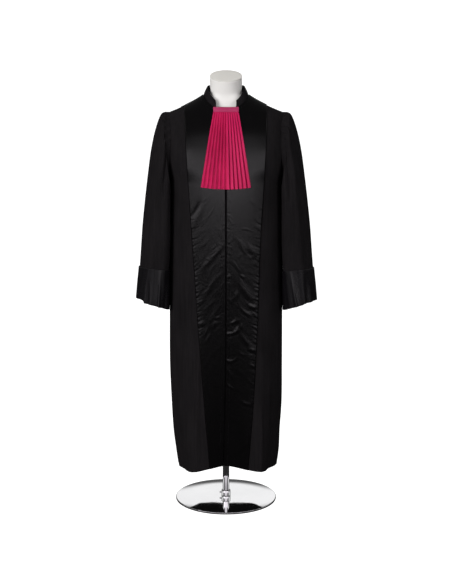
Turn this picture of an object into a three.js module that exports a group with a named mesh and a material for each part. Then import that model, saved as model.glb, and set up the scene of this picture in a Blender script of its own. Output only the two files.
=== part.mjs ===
// A judge's robe on a limbless dress form, which stands on a round base.
// Millimetres, +Z up. The origin is the centre of the base's underside, and the front faces -Y.
// The wearer's left is at +X, so side is +1 for left and -1 for right.

import * as THREE from "three";

// Driving dimensions

const HEM_LEVEL = 137;
const HEM = { frontRise: 20, frontReach: 54, frontPower: 1.6, rightDrop: 6, backDrop: 31, fadeTop: 620 };
const ARMPIT_LEVEL = 1200;
const SHOULDER = { x: 203, level: 1451, dip: 0.28 };
const NECK = { sideX: 81, sideLevel: 1511, centreY: 5, front: 79, back: 72, frontSquare: 2.6 };
const ARMHOLE_SPREAD = 22;
const WALL = { wool: 2, satin: 1, collar: 2.4, cuff: 1.4, silk: 1.2, underlap: 1.5 };
const GAP = 0.3;
const SEAM_INSET = 0.15;
const CENTRE_GAP = { top: 9, hem: 4 };
const FORM_GAP = 0.6;
const HALVINGS = 30;
const NECK_REACH = 25;

// The body's horizontal sections. right and left are half widths, sideY is the side seam's place,
// front and back are depths from it, and square is the section's exponent (2 is an ellipse).
const BODY = [
  { level: 100, right: 173, left: 189, sideY: 10, front: 123, back: 188, square: 2.6 },
  { level: 139, right: 179, left: 193, sideY: 10, front: 124, back: 184, square: 2.6 },
  { level: 186, right: 186, left: 199, sideY: 10, front: 125, back: 179, square: 2.6 },
  { level: 264, right: 196, left: 202, sideY: 9, front: 126, back: 170, square: 2.7 },
  { level: 381, right: 203, left: 209, sideY: 8, front: 127, back: 160, square: 2.7 },
  { level: 535, right: 209, left: 209, sideY: 7, front: 128, back: 150, square: 2.8 },
  { level: 725, right: 208.5, left: 208.5, sideY: 6, front: 129, back: 141, square: 2.6 },
  { level: 886, right: 208, left: 208, sideY: 5, front: 131, back: 136, square: 2.4 },
  { level: 1050, right: 207.5, left: 207.5, sideY: 5, front: 133, back: 133, square: 2.4 },
  { level: 1200, right: 204, left: 204, sideY: 5, front: 134, back: 132, square: 2.6 },
  { level: 1260, right: 214, left: 214, sideY: 5, front: 132, back: 133, square: 2.8 },
  { level: 1330, right: 222, left: 222, sideY: 5, front: 125, back: 133, square: 2.7 },
  { level: 1400, right: 220, left: 220, sideY: 5, front: 107, back: 127, square: 2.5 },
  { level: 1451, right: 203, left: 203, sideY: 5, front: 84, back: 112, square: 2.3 },
  { level: 1490, right: 124, left: 124, sideY: 5, front: 64, back: 93, square: 2.1 },
  { level: 1511, right: 81, left: 81, sideY: 5, front: 54, back: 81, square: 2 },
  { level: 1540, right: 60, left: 60, sideY: 5, front: 42, back: 64, square: 2 },
];

// Hanging folds of the body, each at an angle from the centre front. right and left are its height
// at the hem, and it fades out at top.
const FOLD_GROWTH = { power: 1.5, most: 1.05 };
const BODY_FOLDS = [
  { angle: 0, spread: 22, right: -14, left: -14, top: 700 },
  { angle: 44, spread: 12, right: 22, left: 25, top: 900 },
  { angle: 66, spread: 9, right: -6, left: -8, top: 700 },
  { angle: 108, spread: 11, right: 8, left: 6, top: 940 },
  { angle: 131, spread: 11, right: -12, left: -14, top: 1000 },
  { angle: 154, spread: 11, right: 13, left: 11, top: 1060 },
  { angle: 180, spread: 12, right: -12, left: -12, top: 1020 },
];

// The satin band's outer edge on each front.
const BAND_EDGE = [
  { level: 100, right: 62, left: 83 },
  { level: 139, right: 62, left: 83 },
  { level: 381, right: 80, left: 100 },
  { level: 560, right: 93, left: 109 },
  { level: 720, right: 104, left: 116 },
  { level: 880, right: 114, left: 120 },
  { level: 1030, right: 124, left: 126 },
  { level: 1220, right: 136, left: 137 },
  { level: 1400, right: 146, left: 145 },
  { level: 1511, right: 150, left: 147 },
];

// Rows of the panels below the armpit, as levels, and above it, as shares of the armhole.
const LOWER_ROWS = [137, 190, 250, 315, 385, 465, 560, 660, 765, 870, 975, 1080, 1150, 1200];
const UPPER_ROWS = [0.12, 0.24, 0.36, 0.48, 0.6, 0.7, 0.76, 0.82, 0.88, 0.93, 0.97, 1];
const THROAT_SHARE = 0.7;
const COLUMNS = { band: 5, wool: 5, shoulder: 6, nape: 5 };

// The sleeve's rings from the armhole to the wrist, each through an outer and an inner point.
const SLEEVE = [
  { along: 0, outerX: 203, outerZ: 1451, innerX: 204, innerZ: 1200, halfDepth: 80, centreY: 5, square: 2 },
  { along: 1, outerX: 220, outerZ: 1451, innerX: 207, innerZ: 1203, halfDepth: 89, centreY: 5, square: 2.1 },
  { along: 2, outerX: 237, outerZ: 1438, innerX: 210, innerZ: 1200, halfDepth: 93, centreY: 4, square: 2.2 },
  { along: 3, outerX: 256, outerZ: 1386, innerX: 210, innerZ: 1172, halfDepth: 96, centreY: 3, square: 2.3 },
  { along: 4, outerX: 272, outerZ: 1314, innerX: 210, innerZ: 1130, halfDepth: 97, centreY: 2, square: 2.3 },
  { along: 5, outerX: 285, outerZ: 1222, innerX: 210, innerZ: 1075, halfDepth: 96, centreY: 1, square: 2.3 },
  { along: 6, outerX: 296, outerZ: 1133, innerX: 210, innerZ: 1015, halfDepth: 95, centreY: 0, square: 2.3 },
  { along: 7, outerX: 306, outerZ: 1040, innerX: 211, innerZ: 965, halfDepth: 94, centreY: 0, square: 2.3 },
  { along: 8, outerX: 313, outerZ: 949, innerX: 213, innerZ: 915, halfDepth: 93, centreY: 0, square: 2.3 },
  { along: 9, outerX: 318, outerZ: 889, innerX: 216, innerZ: 880, halfDepth: 92, centreY: 0, square: 2.3 },
  { along: 10, outerX: 325, outerZ: 828, innerX: 217, innerZ: 809, halfDepth: 92, centreY: 0, square: 2.3 },
  { along: 11, outerX: 331, outerZ: 769, innerX: 219, innerZ: 738, halfDepth: 93, centreY: 0, square: 2.3 },
];
const SLEEVE_END = 11;
const SLEEVE_HEM = 10.97;
const CUFF_START = 9;
const CUFF_FLARE = 1.2;

// Below the shoulder the sleeve's front and back lean in against the body, its inner side flattens,
// and its lower front is lifted.
const SLEEVE_HANG = { start: 1, full: 3, frontLean: 0.2, backLean: 0.1, flatten: 1.2 };
const SLEEVE_LIFT = { height: 8, start: 6, full: 10 };
const SLEEVE_SPREAD = { left: 4, right: 0 };
const SLEEVE_DROP = { left: 5, right: 0 };
const SLEEVE_ROWS = [0, 0.5, 1, 2, 3, 4, 5, 6, 7, 8, 9, 10, SLEEVE_HEM];
const CUFF_ROWS = [CUFF_START, 10, SLEEVE_END];

// Pleats sewn into the sleeve head: angles from the shoulder tip, on the front and on the back.
const PLEATS = {
  angles: [28, 50, 72],
  spread: 6,
  reach: 11,
  depth: [0, 5, 6.5, 6, 5, 4, 3.2, 2.6, 2, 1.4, 1.2, 1.2],
};
const PLEAT_STEPS = [-11, -5.5, 0, 5.5];
const UNDERARM_STEPS = 11;

// The stand-up collar, from its front edges to the nape. Its front edges stand nearly upright.
const COLLAR = {
  frontHeight: 25,
  sideHeight: 36,
  backHeight: 33,
  frontLean: 31,
  sideLean: 25,
  backLean: 14,
  footAngle: 25,
  topAngle: 31,
  closing: 4,
  parts: 2,
  rows: 2,
};

// The jabot's fan: each pleat is a trough and a crest across the columns of profile.
const JABOT = {
  pleats: 12,
  profile: [
    { at: 0, rise: 0 },
    { at: 0.22, rise: 0.75 },
    { at: 0.5, rise: 1 },
    { at: 0.85, rise: 0.85 },
  ],
  rows: 7,
  top: 1448,
  bottom: 1189,
  halfTop: 43,
  halfBottom: 88,
  taper: 0.9,
  lift: 1.6,
  footLift: 7,
  pleatDepth: 3.6,
  footDrop: 6,
};
const JABOT_BAND = { half: 44, top: 1465.5, bottom: 1448.5, thickness: 4.5, columns: 10 };

const UNDERLAP = { half: 18, levels: [1280, 1360, 1440], columns: 4, gap: 1.5 };

// The dress form's sections, from its underside to its neck.
const FORM = [
  { level: 800, half: 150, centreY: 4, front: 98, back: 100, square: 2.3 },
  { level: 812, half: 158, centreY: 4, front: 104, back: 106, square: 2.3 },
  { level: 880, half: 165, centreY: 5, front: 108, back: 116, square: 2.3 },
  { level: 960, half: 156, centreY: 5, front: 104, back: 108, square: 2.3 },
  { level: 1040, half: 146, centreY: 5, front: 102, back: 96, square: 2.3 },
  { level: 1130, half: 156, centreY: 5, front: 110, back: 102, square: 2.3 },
  { level: 1220, half: 170, centreY: 5, front: 120, back: 114, square: 2.4 },
  { level: 1310, half: 182, centreY: 5, front: 117, back: 118, square: 2.4 },
  { level: 1380, half: 188, centreY: 5, front: 102, back: 114, square: 2.3 },
  { level: 1425, half: 189, centreY: 5, front: 84, back: 105, square: 2.2 },
];
const FORM_SHOULDER = { outerX: 185, frontShare: 0.74, backShare: 0.8, levels: [1453, 1464, 1478, 1490] };
const FORM_NECK = [
  { level: 1511, half: 64, centreY: 9, front: 53, back: 55, square: 2 },
  { level: 1530, half: 57.5, centreY: 4, front: 56, back: 57, square: 2 },
];
const NECK_TOP = { radius: 57, level: 1577.2, centreY: -6, tilt: 20.2 };
const CAP = { radius: 57.5, thickness: 3.5, bevel: 1 };

const FORM_STEPS = 32;

const BASE = { radius: 190, thickness: 8, rim: 3, segments: 48 };
const POLE = { radius: 12.5, segments: 24 };
const SOCKET = { radius: 17, height: 22 };
const FLANGE = { radius: 45, thickness: 6, tubeRadius: 18, tubeHeight: 46 };
const SCREW = { radius: 3, length: 7, height: 12, segments: 12 };

// Reading the tables

const DEGREE = Math.PI / 180;

function column(table, key, name, at) {
  const last = table.length - 1;
  let i = 0;
  while (i < last - 1 && at > table[i + 1][key]) i += 1;
  const slope = (k) => {
    const low = table[Math.max(k - 1, 0)];
    const high = table[Math.min(k + 1, last)];
    return (high[name] - low[name]) / (high[key] - low[key]);
  };
  const span = table[i + 1][key] - table[i][key];
  const t = THREE.MathUtils.clamp((at - table[i][key]) / span, 0, 1);
  const rise = table[i + 1][name] - table[i][name];
  const startBend = slope(i) * span - rise;
  const endBend = rise - slope(i + 1) * span;
  return table[i][name] + rise * t + t * (1 - t) * ((1 - t) * startBend + t * endBend);
}

function sideName(side) {
  return side > 0 ? "left" : "right";
}

// Closed outlines

function roundedRadius(angle, half, depth, square) {
  const across = Math.abs(Math.sin(angle)) / half;
  const along = Math.abs(Math.cos(angle)) / depth;
  return (across ** square + along ** square) ** (-1 / square);
}

// The shoulder's ridge falls from the neck to the shoulder point, and dips a little between.
function ridgeHalfWidth(level) {
  const share = (level - SHOULDER.level) / (NECK.sideLevel - SHOULDER.level);
  return THREE.MathUtils.lerp(SHOULDER.x, NECK.sideX, share + SHOULDER.dip * share * (1 - share));
}

function bodyHalfWidth(level, side) {
  return level > SHOULDER.level ? ridgeHalfWidth(level) : column(BODY, "level", sideName(side), level);
}

function foldAt(degrees, level, side) {
  let push = 0;
  for (const fold of BODY_FOLDS) {
    const away = (degrees - fold.angle) / fold.spread;
    const grown = THREE.MathUtils.clamp((fold.top - level) / (fold.top - HEM_LEVEL), 0, FOLD_GROWTH.most);
    push += fold[sideName(side)] * Math.exp(-away * away) * grown ** FOLD_GROWTH.power;
  }
  return push;
}

function hemShift(degrees, level, side) {
  const fade = THREE.MathUtils.clamp((HEM.fadeTop - level) / (HEM.fadeTop - HEM_LEVEL), 0, 1) ** 2;
  const forward = Math.min(degrees / HEM.frontReach, 1);
  const rise = HEM.frontRise * Math.cos((forward * Math.PI) / 2) ** HEM.frontPower;
  const drop = degrees > 90 ? HEM.backDrop * Math.sin((degrees - 90) * DEGREE) ** 2 : 0;
  const uneven = side < 0 ? HEM.rightDrop * Math.sin(degrees * DEGREE) ** 2 : 0;
  return (rise - drop - uneven) * fade;
}

// A point of the robe's outside: degrees run from 0 at the centre front to 180 at the centre back.
function bodyPoint(degrees, level, side) {
  const angle = degrees * DEGREE;
  const depth = column(BODY, "level", degrees < 90 ? "front" : "back", level);
  const square = column(BODY, "level", "square", level);
  const turned = Math.min(Math.abs(degrees), 360 - Math.abs(degrees));
  const smooth = roundedRadius(angle, bodyHalfWidth(level, side), depth, square);
  const radius = smooth + foldAt(turned, level, side);
  return new THREE.Vector3(
    side * radius * Math.sin(angle),
    column(BODY, "level", "sideY", level) - radius * Math.cos(angle),
    level + hemShift(turned, level, side),
  );
}

function bodyNormal(degrees, level, side) {
  const turn = 0.4;
  const rise = 1;
  const around = bodyPoint(degrees + turn, level, side).sub(bodyPoint(degrees - turn, level, side));
  const up = bodyPoint(degrees, level + rise, side).sub(bodyPoint(degrees, level - rise, side));
  return around.cross(up).multiplyScalar(side).normalize();
}

function angleAtX(x, level, side) {
  let low = 0;
  let high = 90;
  for (let step = 0; step < HALVINGS; step += 1) {
    const middle = (low + high) / 2;
    if (Math.abs(bodyPoint(middle, level, side).x) < x) low = middle;
    else high = middle;
  }
  return high;
}

// Closed walls from grids of outside points and their normals

function insetEdges(points, closed) {
  const lastRow = points.length - 1;
  const lastColumn = points[0].length - 1;
  const moved = points.map((row) => row.map((point) => point.clone()));
  const pull = (point, towards) => point.add(towards.clone().sub(point).setLength(SEAM_INSET));
  for (let j = 0; j <= lastColumn; j += 1) {
    pull(moved[0][j], points[1][j]);
    pull(moved[lastRow][j], points[lastRow - 1][j]);
  }
  if (closed) return moved;
  for (let i = 0; i <= lastRow; i += 1) {
    pull(moved[i][0], points[i][1]);
    pull(moved[i][lastColumn], points[i][lastColumn - 1]);
  }
  return moved;
}

function closedGeometry(vertices, faces) {
  const a = new THREE.Vector3();
  let volume = 0;
  for (const [i, j, k] of faces) volume += vertices[i].dot(a.copy(vertices[j]).cross(vertices[k]));
  const turned = volume < 0 ? faces.map(([i, j, k]) => [i, k, j]) : faces;
  const positions = vertices.flatMap((vertex) => vertex.toArray());
  const geometry = new THREE.BufferGeometry();
  geometry.setAttribute("position", new THREE.Float32BufferAttribute(positions, 3));
  geometry.setIndex(turned.flat());
  geometry.computeVertexNormals();
  return geometry;
}

function wall(points, normals, thickness, closed = false) {
  const rows = points.length;
  const columns = points[0].length;
  const outer = insetEdges(points, closed);
  const inner = outer.map((row, i) =>
    row.map((point, j) => point.clone().addScaledVector(normals[i][j], -thickness)),
  );
  const vertices = [...outer.flat(), ...inner.flat()];
  const at = (face, i, j) => face * rows * columns + i * columns + (j % columns);
  const faces = [];
  const quad = (a, b, c, d) => faces.push([a, b, c], [a, c, d]);
  const spans = closed ? columns : columns - 1;
  for (let i = 0; i < rows - 1; i += 1) {
    for (let j = 0; j < spans; j += 1) {
      quad(at(0, i, j), at(0, i, j + 1), at(0, i + 1, j + 1), at(0, i + 1, j));
      quad(at(1, i, j), at(1, i + 1, j), at(1, i + 1, j + 1), at(1, i, j + 1));
    }
  }
  for (let j = 0; j < spans; j += 1) {
    quad(at(0, 0, j), at(1, 0, j), at(1, 0, j + 1), at(0, 0, j + 1));
    quad(at(0, rows - 1, j), at(0, rows - 1, j + 1), at(1, rows - 1, j + 1), at(1, rows - 1, j));
  }
  if (!closed) {
    const edge = columns - 1;
    for (let i = 0; i < rows - 1; i += 1) {
      quad(at(0, i, 0), at(0, i + 1, 0), at(1, i + 1, 0), at(1, i, 0));
      quad(at(0, i, edge), at(1, i, edge), at(1, i + 1, edge), at(0, i + 1, edge));
    }
  }
  return closedGeometry(vertices, faces);
}

// A wall on the robe's surface, moved out by lift, from rows of places on one side or both.
function bodyWall(places, lift, thickness) {
  const normals = places.map((row) => row.map((p) => bodyNormal(p.degrees, p.level, p.side)));
  const points = places.map((row, i) =>
    row.map((p, j) => bodyPoint(p.degrees, p.level, p.side).addScaledVector(normals[i][j], p.lift ?? lift)),
  );
  return wall(points, normals, thickness);
}

function solidOfRings(rings) {
  const count = rings[0].length;
  const vertices = rings.flat();
  const faces = [];
  for (let i = 0; i < rings.length - 1; i += 1) {
    for (let j = 0; j < count; j += 1) {
      const next = (j + 1) % count;
      const below = i * count;
      const above = below + count;
      faces.push([below + j, below + next, above + next], [below + j, above + next, above + j]);
    }
  }
  const top = (rings.length - 1) * count;
  for (let j = 1; j < count - 1; j += 1) {
    faces.push([0, j + 1, j], [top, top + j, top + j + 1]);
  }
  return closedGeometry(vertices, faces);
}

// Places on the panels

function between(from, to, share) {
  return {
    degrees: THREE.MathUtils.lerp(from.degrees, to.degrees, share),
    level: THREE.MathUtils.lerp(from.level, to.level, share),
    side: from.side,
  };
}

function stretch(from, to, steps) {
  return Array.from({ length: steps }, (_, k) => between(from, to, k / steps));
}

function armholePlace(share, side, face) {
  const turn = share * Math.PI;
  const middle = (SHOULDER.level + ARMPIT_LEVEL) / 2;
  const half = (SHOULDER.level - ARMPIT_LEVEL) / 2;
  const degrees = 90 + face * ARMHOLE_SPREAD * Math.sin(turn);
  return { degrees, level: middle - half * Math.cos(turn), side };
}

function bodyRadius(degrees, level, side) {
  const p = bodyPoint(degrees, level, side);
  return Math.hypot(p.x, p.y - NECK.centreY);
}

// The neckline is an oval in plan, laid on the robe's surface.
function necklineLevel(degrees) {
  const forward = degrees < 90;
  const depth = forward ? NECK.front : NECK.back;
  const plan = roundedRadius(degrees * DEGREE, NECK.sideX, depth, forward ? NECK.frontSquare : 2);
  let low = SHOULDER.level;
  let high = NECK.sideLevel + NECK_REACH;
  for (let step = 0; step < HALVINGS; step += 1) {
    const middle = (low + high) / 2;
    if (bodyRadius(degrees, middle, 1) > plan) low = middle;
    else high = middle;
  }
  return low;
}

const THROAT_LEVEL = necklineLevel(0);
const NAPE_LEVEL = necklineLevel(180);

function centreEdge(level, side) {
  const share = (level - HEM_LEVEL) / (THROAT_LEVEL - HEM_LEVEL);
  const half = THREE.MathUtils.lerp(CENTRE_GAP.hem, CENTRE_GAP.top, share) / 2;
  return { degrees: angleAtX(half, level, side), level, side };
}

function bandEdge(level, side) {
  const x = column(BAND_EDGE, "level", sideName(side), level);
  return { degrees: angleAtX(x, level, side), level, side };
}

function frontRow(inner, band, outer) {
  return [...stretch(inner, band, COLUMNS.band), ...stretch(band, outer, COLUMNS.wool), outer];
}

function frontInnerEdge(share, side) {
  if (share <= THROAT_SHARE) {
    const level = THREE.MathUtils.lerp(ARMPIT_LEVEL, THROAT_LEVEL, share / THROAT_SHARE);
    return centreEdge(level, side);
  }
  const start = centreEdge(THROAT_LEVEL, side).degrees;
  const degrees = THREE.MathUtils.lerp(start, 90, (share - THROAT_SHARE) / (1 - THROAT_SHARE));
  return { degrees, level: necklineLevel(degrees), side };
}

function frontPlaces(side) {
  const lower = LOWER_ROWS.map((level) =>
    frontRow(centreEdge(level, side), bandEdge(level, side), { degrees: 90, level, side }),
  );
  const upper = UPPER_ROWS.map((share) => {
    const inner = frontInnerEdge(share, side);
    const outer = armholePlace(share, side, -1);
    return frontRow(inner, bandEdge((inner.level + outer.level) / 2, side), outer);
  });
  return [...lower, ...upper];
}

function backHalf(outer, nape, centre) {
  return [...stretch(outer, nape, COLUMNS.shoulder), ...stretch(nape, centre, COLUMNS.nape), centre];
}

function backPlaces() {
  const napeAngle = 135;
  const half = (side) => {
    const lower = LOWER_ROWS.map((level) => {
      const place = (degrees) => ({ degrees, level, side });
      return backHalf(place(90), place(napeAngle), place(180));
    });
    const upper = UPPER_ROWS.map((share) => {
      const nape = {
        degrees: napeAngle - (napeAngle - 90) * share ** 2,
        level: THREE.MathUtils.lerp(ARMPIT_LEVEL, NECK.sideLevel, share),
        side,
      };
      const centreLevel = THREE.MathUtils.lerp(ARMPIT_LEVEL, NAPE_LEVEL, share);
      const centre = { degrees: 180, level: centreLevel, side };
      const row = backHalf(armholePlace(share, side, 1), nape, centre);
      if (share < 1) return row;
      return row.map((p) => (p.degrees > 90 ? { ...p, level: necklineLevel(p.degrees) } : p));
    });
    return [...lower, ...upper];
  };
  const right = half(-1);
  const left = half(1);
  return right.map((row, i) => [...row, ...left[i].slice(0, -1).reverse()]);
}

// Sleeves and cuffs

const PLEAT_ANGLES = [...PLEATS.angles, ...PLEATS.angles.map((angle) => 360 - angle)];

function sleeveAngles() {
  const front = PLEATS.angles.flatMap((angle) => PLEAT_STEPS.map((step) => angle + step));
  const end = PLEATS.angles[PLEATS.angles.length - 1] + PLEATS.reach;
  const underStep = (360 - 2 * end) / (UNDERARM_STEPS + 1);
  const under = Array.from({ length: UNDERARM_STEPS }, (_, k) => end + underStep * (k + 1));
  front.push(end);
  return [0, ...front, ...under, ...front.map((angle) => 360 - angle).reverse()];
}

// The armhole as the panels cut it: straight between their rows.
function armholeEdge(degrees, side) {
  const face = degrees <= 180 ? -1 : 1;
  const share = 1 - (degrees <= 180 ? degrees : 360 - degrees) / 180;
  const shares = [0, ...UPPER_ROWS];
  let k = 0;
  while (k < shares.length - 2 && share > shares[k + 1]) k += 1;
  const corner = (at) => {
    const place = armholePlace(at, side, face);
    return bodyPoint(place.degrees, place.level, side);
  };
  const low = corner(shares[k]);
  const high = corner(shares[k + 1]);
  return low.lerp(high, (share - shares[k]) / (shares[k + 1] - shares[k]));
}

function armholeOutward(point) {
  const middle = (SHOULDER.level + ARMPIT_LEVEL) / 2;
  return new THREE.Vector3(0, point.y - SLEEVE[0].centreY, point.z - middle).normalize();
}

function pleatAt(degrees, along) {
  const k = Math.min(Math.floor(along), SLEEVE_END - 1);
  const depth = THREE.MathUtils.lerp(PLEATS.depth[k], PLEATS.depth[k + 1], along - k);
  let push = 0;
  for (const angle of PLEAT_ANGLES) {
    const away = (degrees - angle) / PLEATS.spread;
    push -= depth * Math.exp(-away * away);
  }
  return push;
}

function shareBetween(start, end, at) {
  return THREE.MathUtils.clamp((at - start) / (end - start), 0, 1);
}

function ringPoint(degrees, along, side) {
  const read = (name) => column(SLEEVE, "along", name, along);
  const spread = SLEEVE_SPREAD[sideName(side)] * (along / SLEEVE_END);
  const angle = degrees * DEGREE;
  const halfX = (read("outerX") + spread - read("innerX")) / 2;
  const halfZ = (read("outerZ") - read("innerZ")) / 2;
  const hang = shareBetween(SLEEVE_HANG.start, SLEEVE_HANG.full, along);
  const raised = shareBetween(SLEEVE_LIFT.start, SLEEVE_LIFT.full, along);
  const lift = SLEEVE_LIFT.height * raised * Math.max(Math.sin(angle), 0);
  const square = read("square") + (Math.cos(angle) < 0 ? SLEEVE_HANG.flatten * hang : 0);
  const round = roundedRadius(angle, 1, 1, square);
  const forward = read("halfDepth") * round * Math.sin(angle);
  const lean = forward > 0 ? SLEEVE_HANG.frontLean : SLEEVE_HANG.backLean;
  const drop = SLEEVE_DROP[sideName(side)] * (along / SLEEVE_END);
  const middle = new THREE.Vector3(read("innerX") + halfX, read("centreY"), read("outerZ") - halfZ - drop);
  const ring = new THREE.Vector3(
    middle.x + halfX * round * Math.cos(angle) - lean * hang * Math.abs(forward),
    middle.y - forward,
    middle.z + halfZ * round * Math.cos(angle) + lift,
  );
  const outward = ring.clone().sub(middle).normalize();
  ring.addScaledVector(outward, pleatAt(degrees, along));
  ring.x *= side;
  return ring;
}

function sleevePoint(degrees, along, side) {
  const turned = (degrees + 360) % 360;
  if (along >= 1) return ringPoint(turned, along, side);
  const edge = armholeEdge(turned, side);
  const start = edge.addScaledVector(armholeOutward(edge), -GAP);
  const share = Math.max(along, 0);
  return start.lerp(ringPoint(turned, 1, side), share * (2 - share));
}

function sleeveNormal(degrees, along, side) {
  if (along === 0) return armholeOutward(sleevePoint(degrees, 0, side));
  const turn = 2;
  const step = 0.05;
  const around = sleevePoint(degrees + turn, along, side).sub(sleevePoint(degrees - turn, along, side));
  const low = Math.max(along - step, 0);
  const high = Math.min(along + step, SLEEVE_END);
  const down = sleevePoint(degrees, high, side).sub(sleevePoint(degrees, low, side));
  return down.cross(around).multiplyScalar(-side).normalize();
}

function sleeveWall(rows, lift, thickness, side) {
  const angles = sleeveAngles();
  const normals = rows.map((along) => angles.map((degrees) => sleeveNormal(degrees, along, side)));
  const points = rows.map((along, i) =>
    angles.map((degrees, j) => sleevePoint(degrees, along, side).addScaledVector(normals[i][j], lift(along))),
  );
  return wall(points, normals, thickness, true);
}

function cuffLift(along) {
  const share = (SLEEVE_END - along) / (SLEEVE_END - CUFF_START);
  return GAP + WALL.cuff + CUFF_FLARE * share;
}

// Collar

// The angles at which the panels' rows and columns meet the neckline, from the throat to the nape.
function necklineCorners() {
  const shares = UPPER_ROWS.filter((share) => share >= THROAT_SHARE);
  const front = shares.map((share) => frontInnerEdge(share, 1).degrees);
  const back = Array.from({ length: COLUMNS.nape }, (_, k) => 90 + (90 * (k + 1)) / COLUMNS.nape);
  return [...front, ...back];
}

const NECKLINE = necklineCorners();

// The neckline as the panels cut it: straight between their corners.
function necklineEdge(degrees, side) {
  let k = 0;
  while (k < NECKLINE.length - 2 && degrees > NECKLINE[k + 1]) k += 1;
  const corner = (at) => bodyPoint(at, necklineLevel(at), side);
  const share = (degrees - NECKLINE[k]) / (NECKLINE[k + 1] - NECKLINE[k]);
  return corner(NECKLINE[k]).lerp(corner(NECKLINE[k + 1]), share);
}

function collarAngles() {
  const smallest = 3;
  const corners = NECKLINE.filter((degrees) => degrees > COLLAR.footAngle + smallest);
  const angles = [COLLAR.footAngle];
  for (const corner of corners) {
    const last = angles[angles.length - 1];
    for (let k = 1; k <= COLLAR.parts; k += 1) angles.push(last + ((corner - last) * k) / COLLAR.parts);
  }
  return angles;
}

function collarValue(front, middle, back, degrees) {
  const forward = THREE.MathUtils.clamp((degrees - COLLAR.footAngle) / (90 - COLLAR.footAngle), 0, 1);
  const behind = Math.max(degrees - 90, 0) / 90;
  return THREE.MathUtils.lerp(THREE.MathUtils.lerp(front, middle, forward), back, behind);
}

function collarPlace(degrees, share, side) {
  const lean = collarValue(COLLAR.frontLean, COLLAR.sideLean, COLLAR.backLean, degrees) * DEGREE;
  const tall = collarValue(COLLAR.frontHeight, COLLAR.sideHeight, COLLAR.backHeight, degrees);
  const foot = share > 0 ? bodyPoint(degrees, necklineLevel(degrees), side) : necklineEdge(degrees, side);
  const outward = new THREE.Vector3(foot.x, foot.y - NECK.centreY, 0).normalize();
  const height = GAP + tall * share;
  const point = foot.addScaledVector(outward, -height * Math.sin(lean));
  point.z += height * Math.cos(lean);
  const normal = outward.multiplyScalar(Math.cos(lean));
  normal.z = Math.sin(lean);
  return { point, normal };
}

function collarWall() {
  const angles = collarAngles();
  const opening = COLLAR.topAngle - COLLAR.footAngle;
  const rows = Array.from({ length: COLLAR.rows + 1 }, (_, i) => {
    const share = i / COLLAR.rows;
    const half = (side) =>
      angles.map((degrees) => {
        const closing = (180 - degrees) / (180 - COLLAR.footAngle);
        return collarPlace(degrees + opening * share * closing ** COLLAR.closing, share, side);
      });
    return [...half(-1), ...half(1).slice(0, -1).reverse()];
  });
  const points = rows.map((row) => row.map((place) => place.point));
  const normals = rows.map((row) => row.map((place) => place.normal));
  return wall(points, normals, WALL.collar);
}

// Jabot

function chestPlace(x, level, lift) {
  const side = x < 0 ? -1 : 1;
  return { degrees: angleAtX(Math.abs(x), level, side), level, side, lift };
}

function jabotColumns() {
  const columns = [];
  for (let k = 0; k < JABOT.pleats; k += 1) {
    for (const { at, rise } of JABOT.profile) {
      columns.push({ share: (2 * (k + at)) / JABOT.pleats - 1, rise });
    }
  }
  return [...columns, { share: 1, rise: 0 }];
}

function jabotFan() {
  const columns = jabotColumns();
  const places = [];
  for (let i = 0; i <= JABOT.rows; i += 1) {
    const down = i / JABOT.rows;
    const half = THREE.MathUtils.lerp(JABOT.halfTop, JABOT.halfBottom, down ** JABOT.taper);
    const level = THREE.MathUtils.lerp(JABOT.top, JABOT.bottom, down);
    places.push(
      columns.map(({ share, rise }) => {
        const middle = (1 - share * share) * down;
        const lift = WALL.satin + GAP + JABOT.lift + JABOT.pleatDepth * rise + JABOT.footLift * middle;
        return chestPlace(half * share, level - JABOT.footDrop * middle, lift);
      }),
    );
  }
  return bodyWall(places, 0, WALL.silk);
}

function jabotBand() {
  const lift = WALL.satin + 2 * GAP + JABOT.lift + JABOT_BAND.thickness;
  const row = (level) =>
    Array.from({ length: JABOT_BAND.columns + 1 }, (_, k) =>
      chestPlace(JABOT_BAND.half * ((2 * k) / JABOT_BAND.columns - 1), level, lift),
    );
  return bodyWall([row(JABOT_BAND.bottom), row(JABOT_BAND.top)], lift, JABOT_BAND.thickness);
}

function underlap() {
  const places = [...LOWER_ROWS, ...UNDERLAP.levels].map((level) =>
    Array.from({ length: UNDERLAP.columns + 1 }, (_, k) =>
      chestPlace(UNDERLAP.half * ((2 * k) / UNDERLAP.columns - 1), level, -(WALL.wool + UNDERLAP.gap)),
    ),
  );
  return bodyWall(places, 0, WALL.underlap);
}

// Dress form and stand

function formRing(level, half, centreY, front, back, square, tilt = 0) {
  return Array.from({ length: FORM_STEPS }, (_, k) => {
    const angle = (k / FORM_STEPS) * 2 * Math.PI;
    const depth = Math.cos(angle) > 0 ? front : back;
    const radius = roundedRadius(angle, half, depth, square);
    const y = -radius * Math.cos(angle);
    return new THREE.Vector3(radius * Math.sin(angle), centreY + y, level + y * Math.tan(tilt * DEGREE));
  });
}

function formSolid() {
  const ring = (r) => formRing(r.level, r.half, r.centreY, r.front, r.back, r.square);
  const slope = Math.atan2(NECK.sideLevel - SHOULDER.level, SHOULDER.x - NECK.sideX);
  const drop = (WALL.wool + FORM_GAP) / Math.cos(slope);
  const shoulders = FORM_SHOULDER.levels.map((level) => ({
    level,
    half: Math.min(ridgeHalfWidth(level + drop), FORM_SHOULDER.outerX),
    centreY: NECK.centreY,
    front: column(BODY, "level", "front", level) * FORM_SHOULDER.frontShare,
    back: column(BODY, "level", "back", level) * FORM_SHOULDER.backShare,
    square: 2,
  }));
  const rings = [...FORM, ...shoulders, ...FORM_NECK].map(ring);
  return solidOfRings([...rings, neckTopRing(-CAP.thickness / 2 - GAP, NECK_TOP.radius)]);
}

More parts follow.
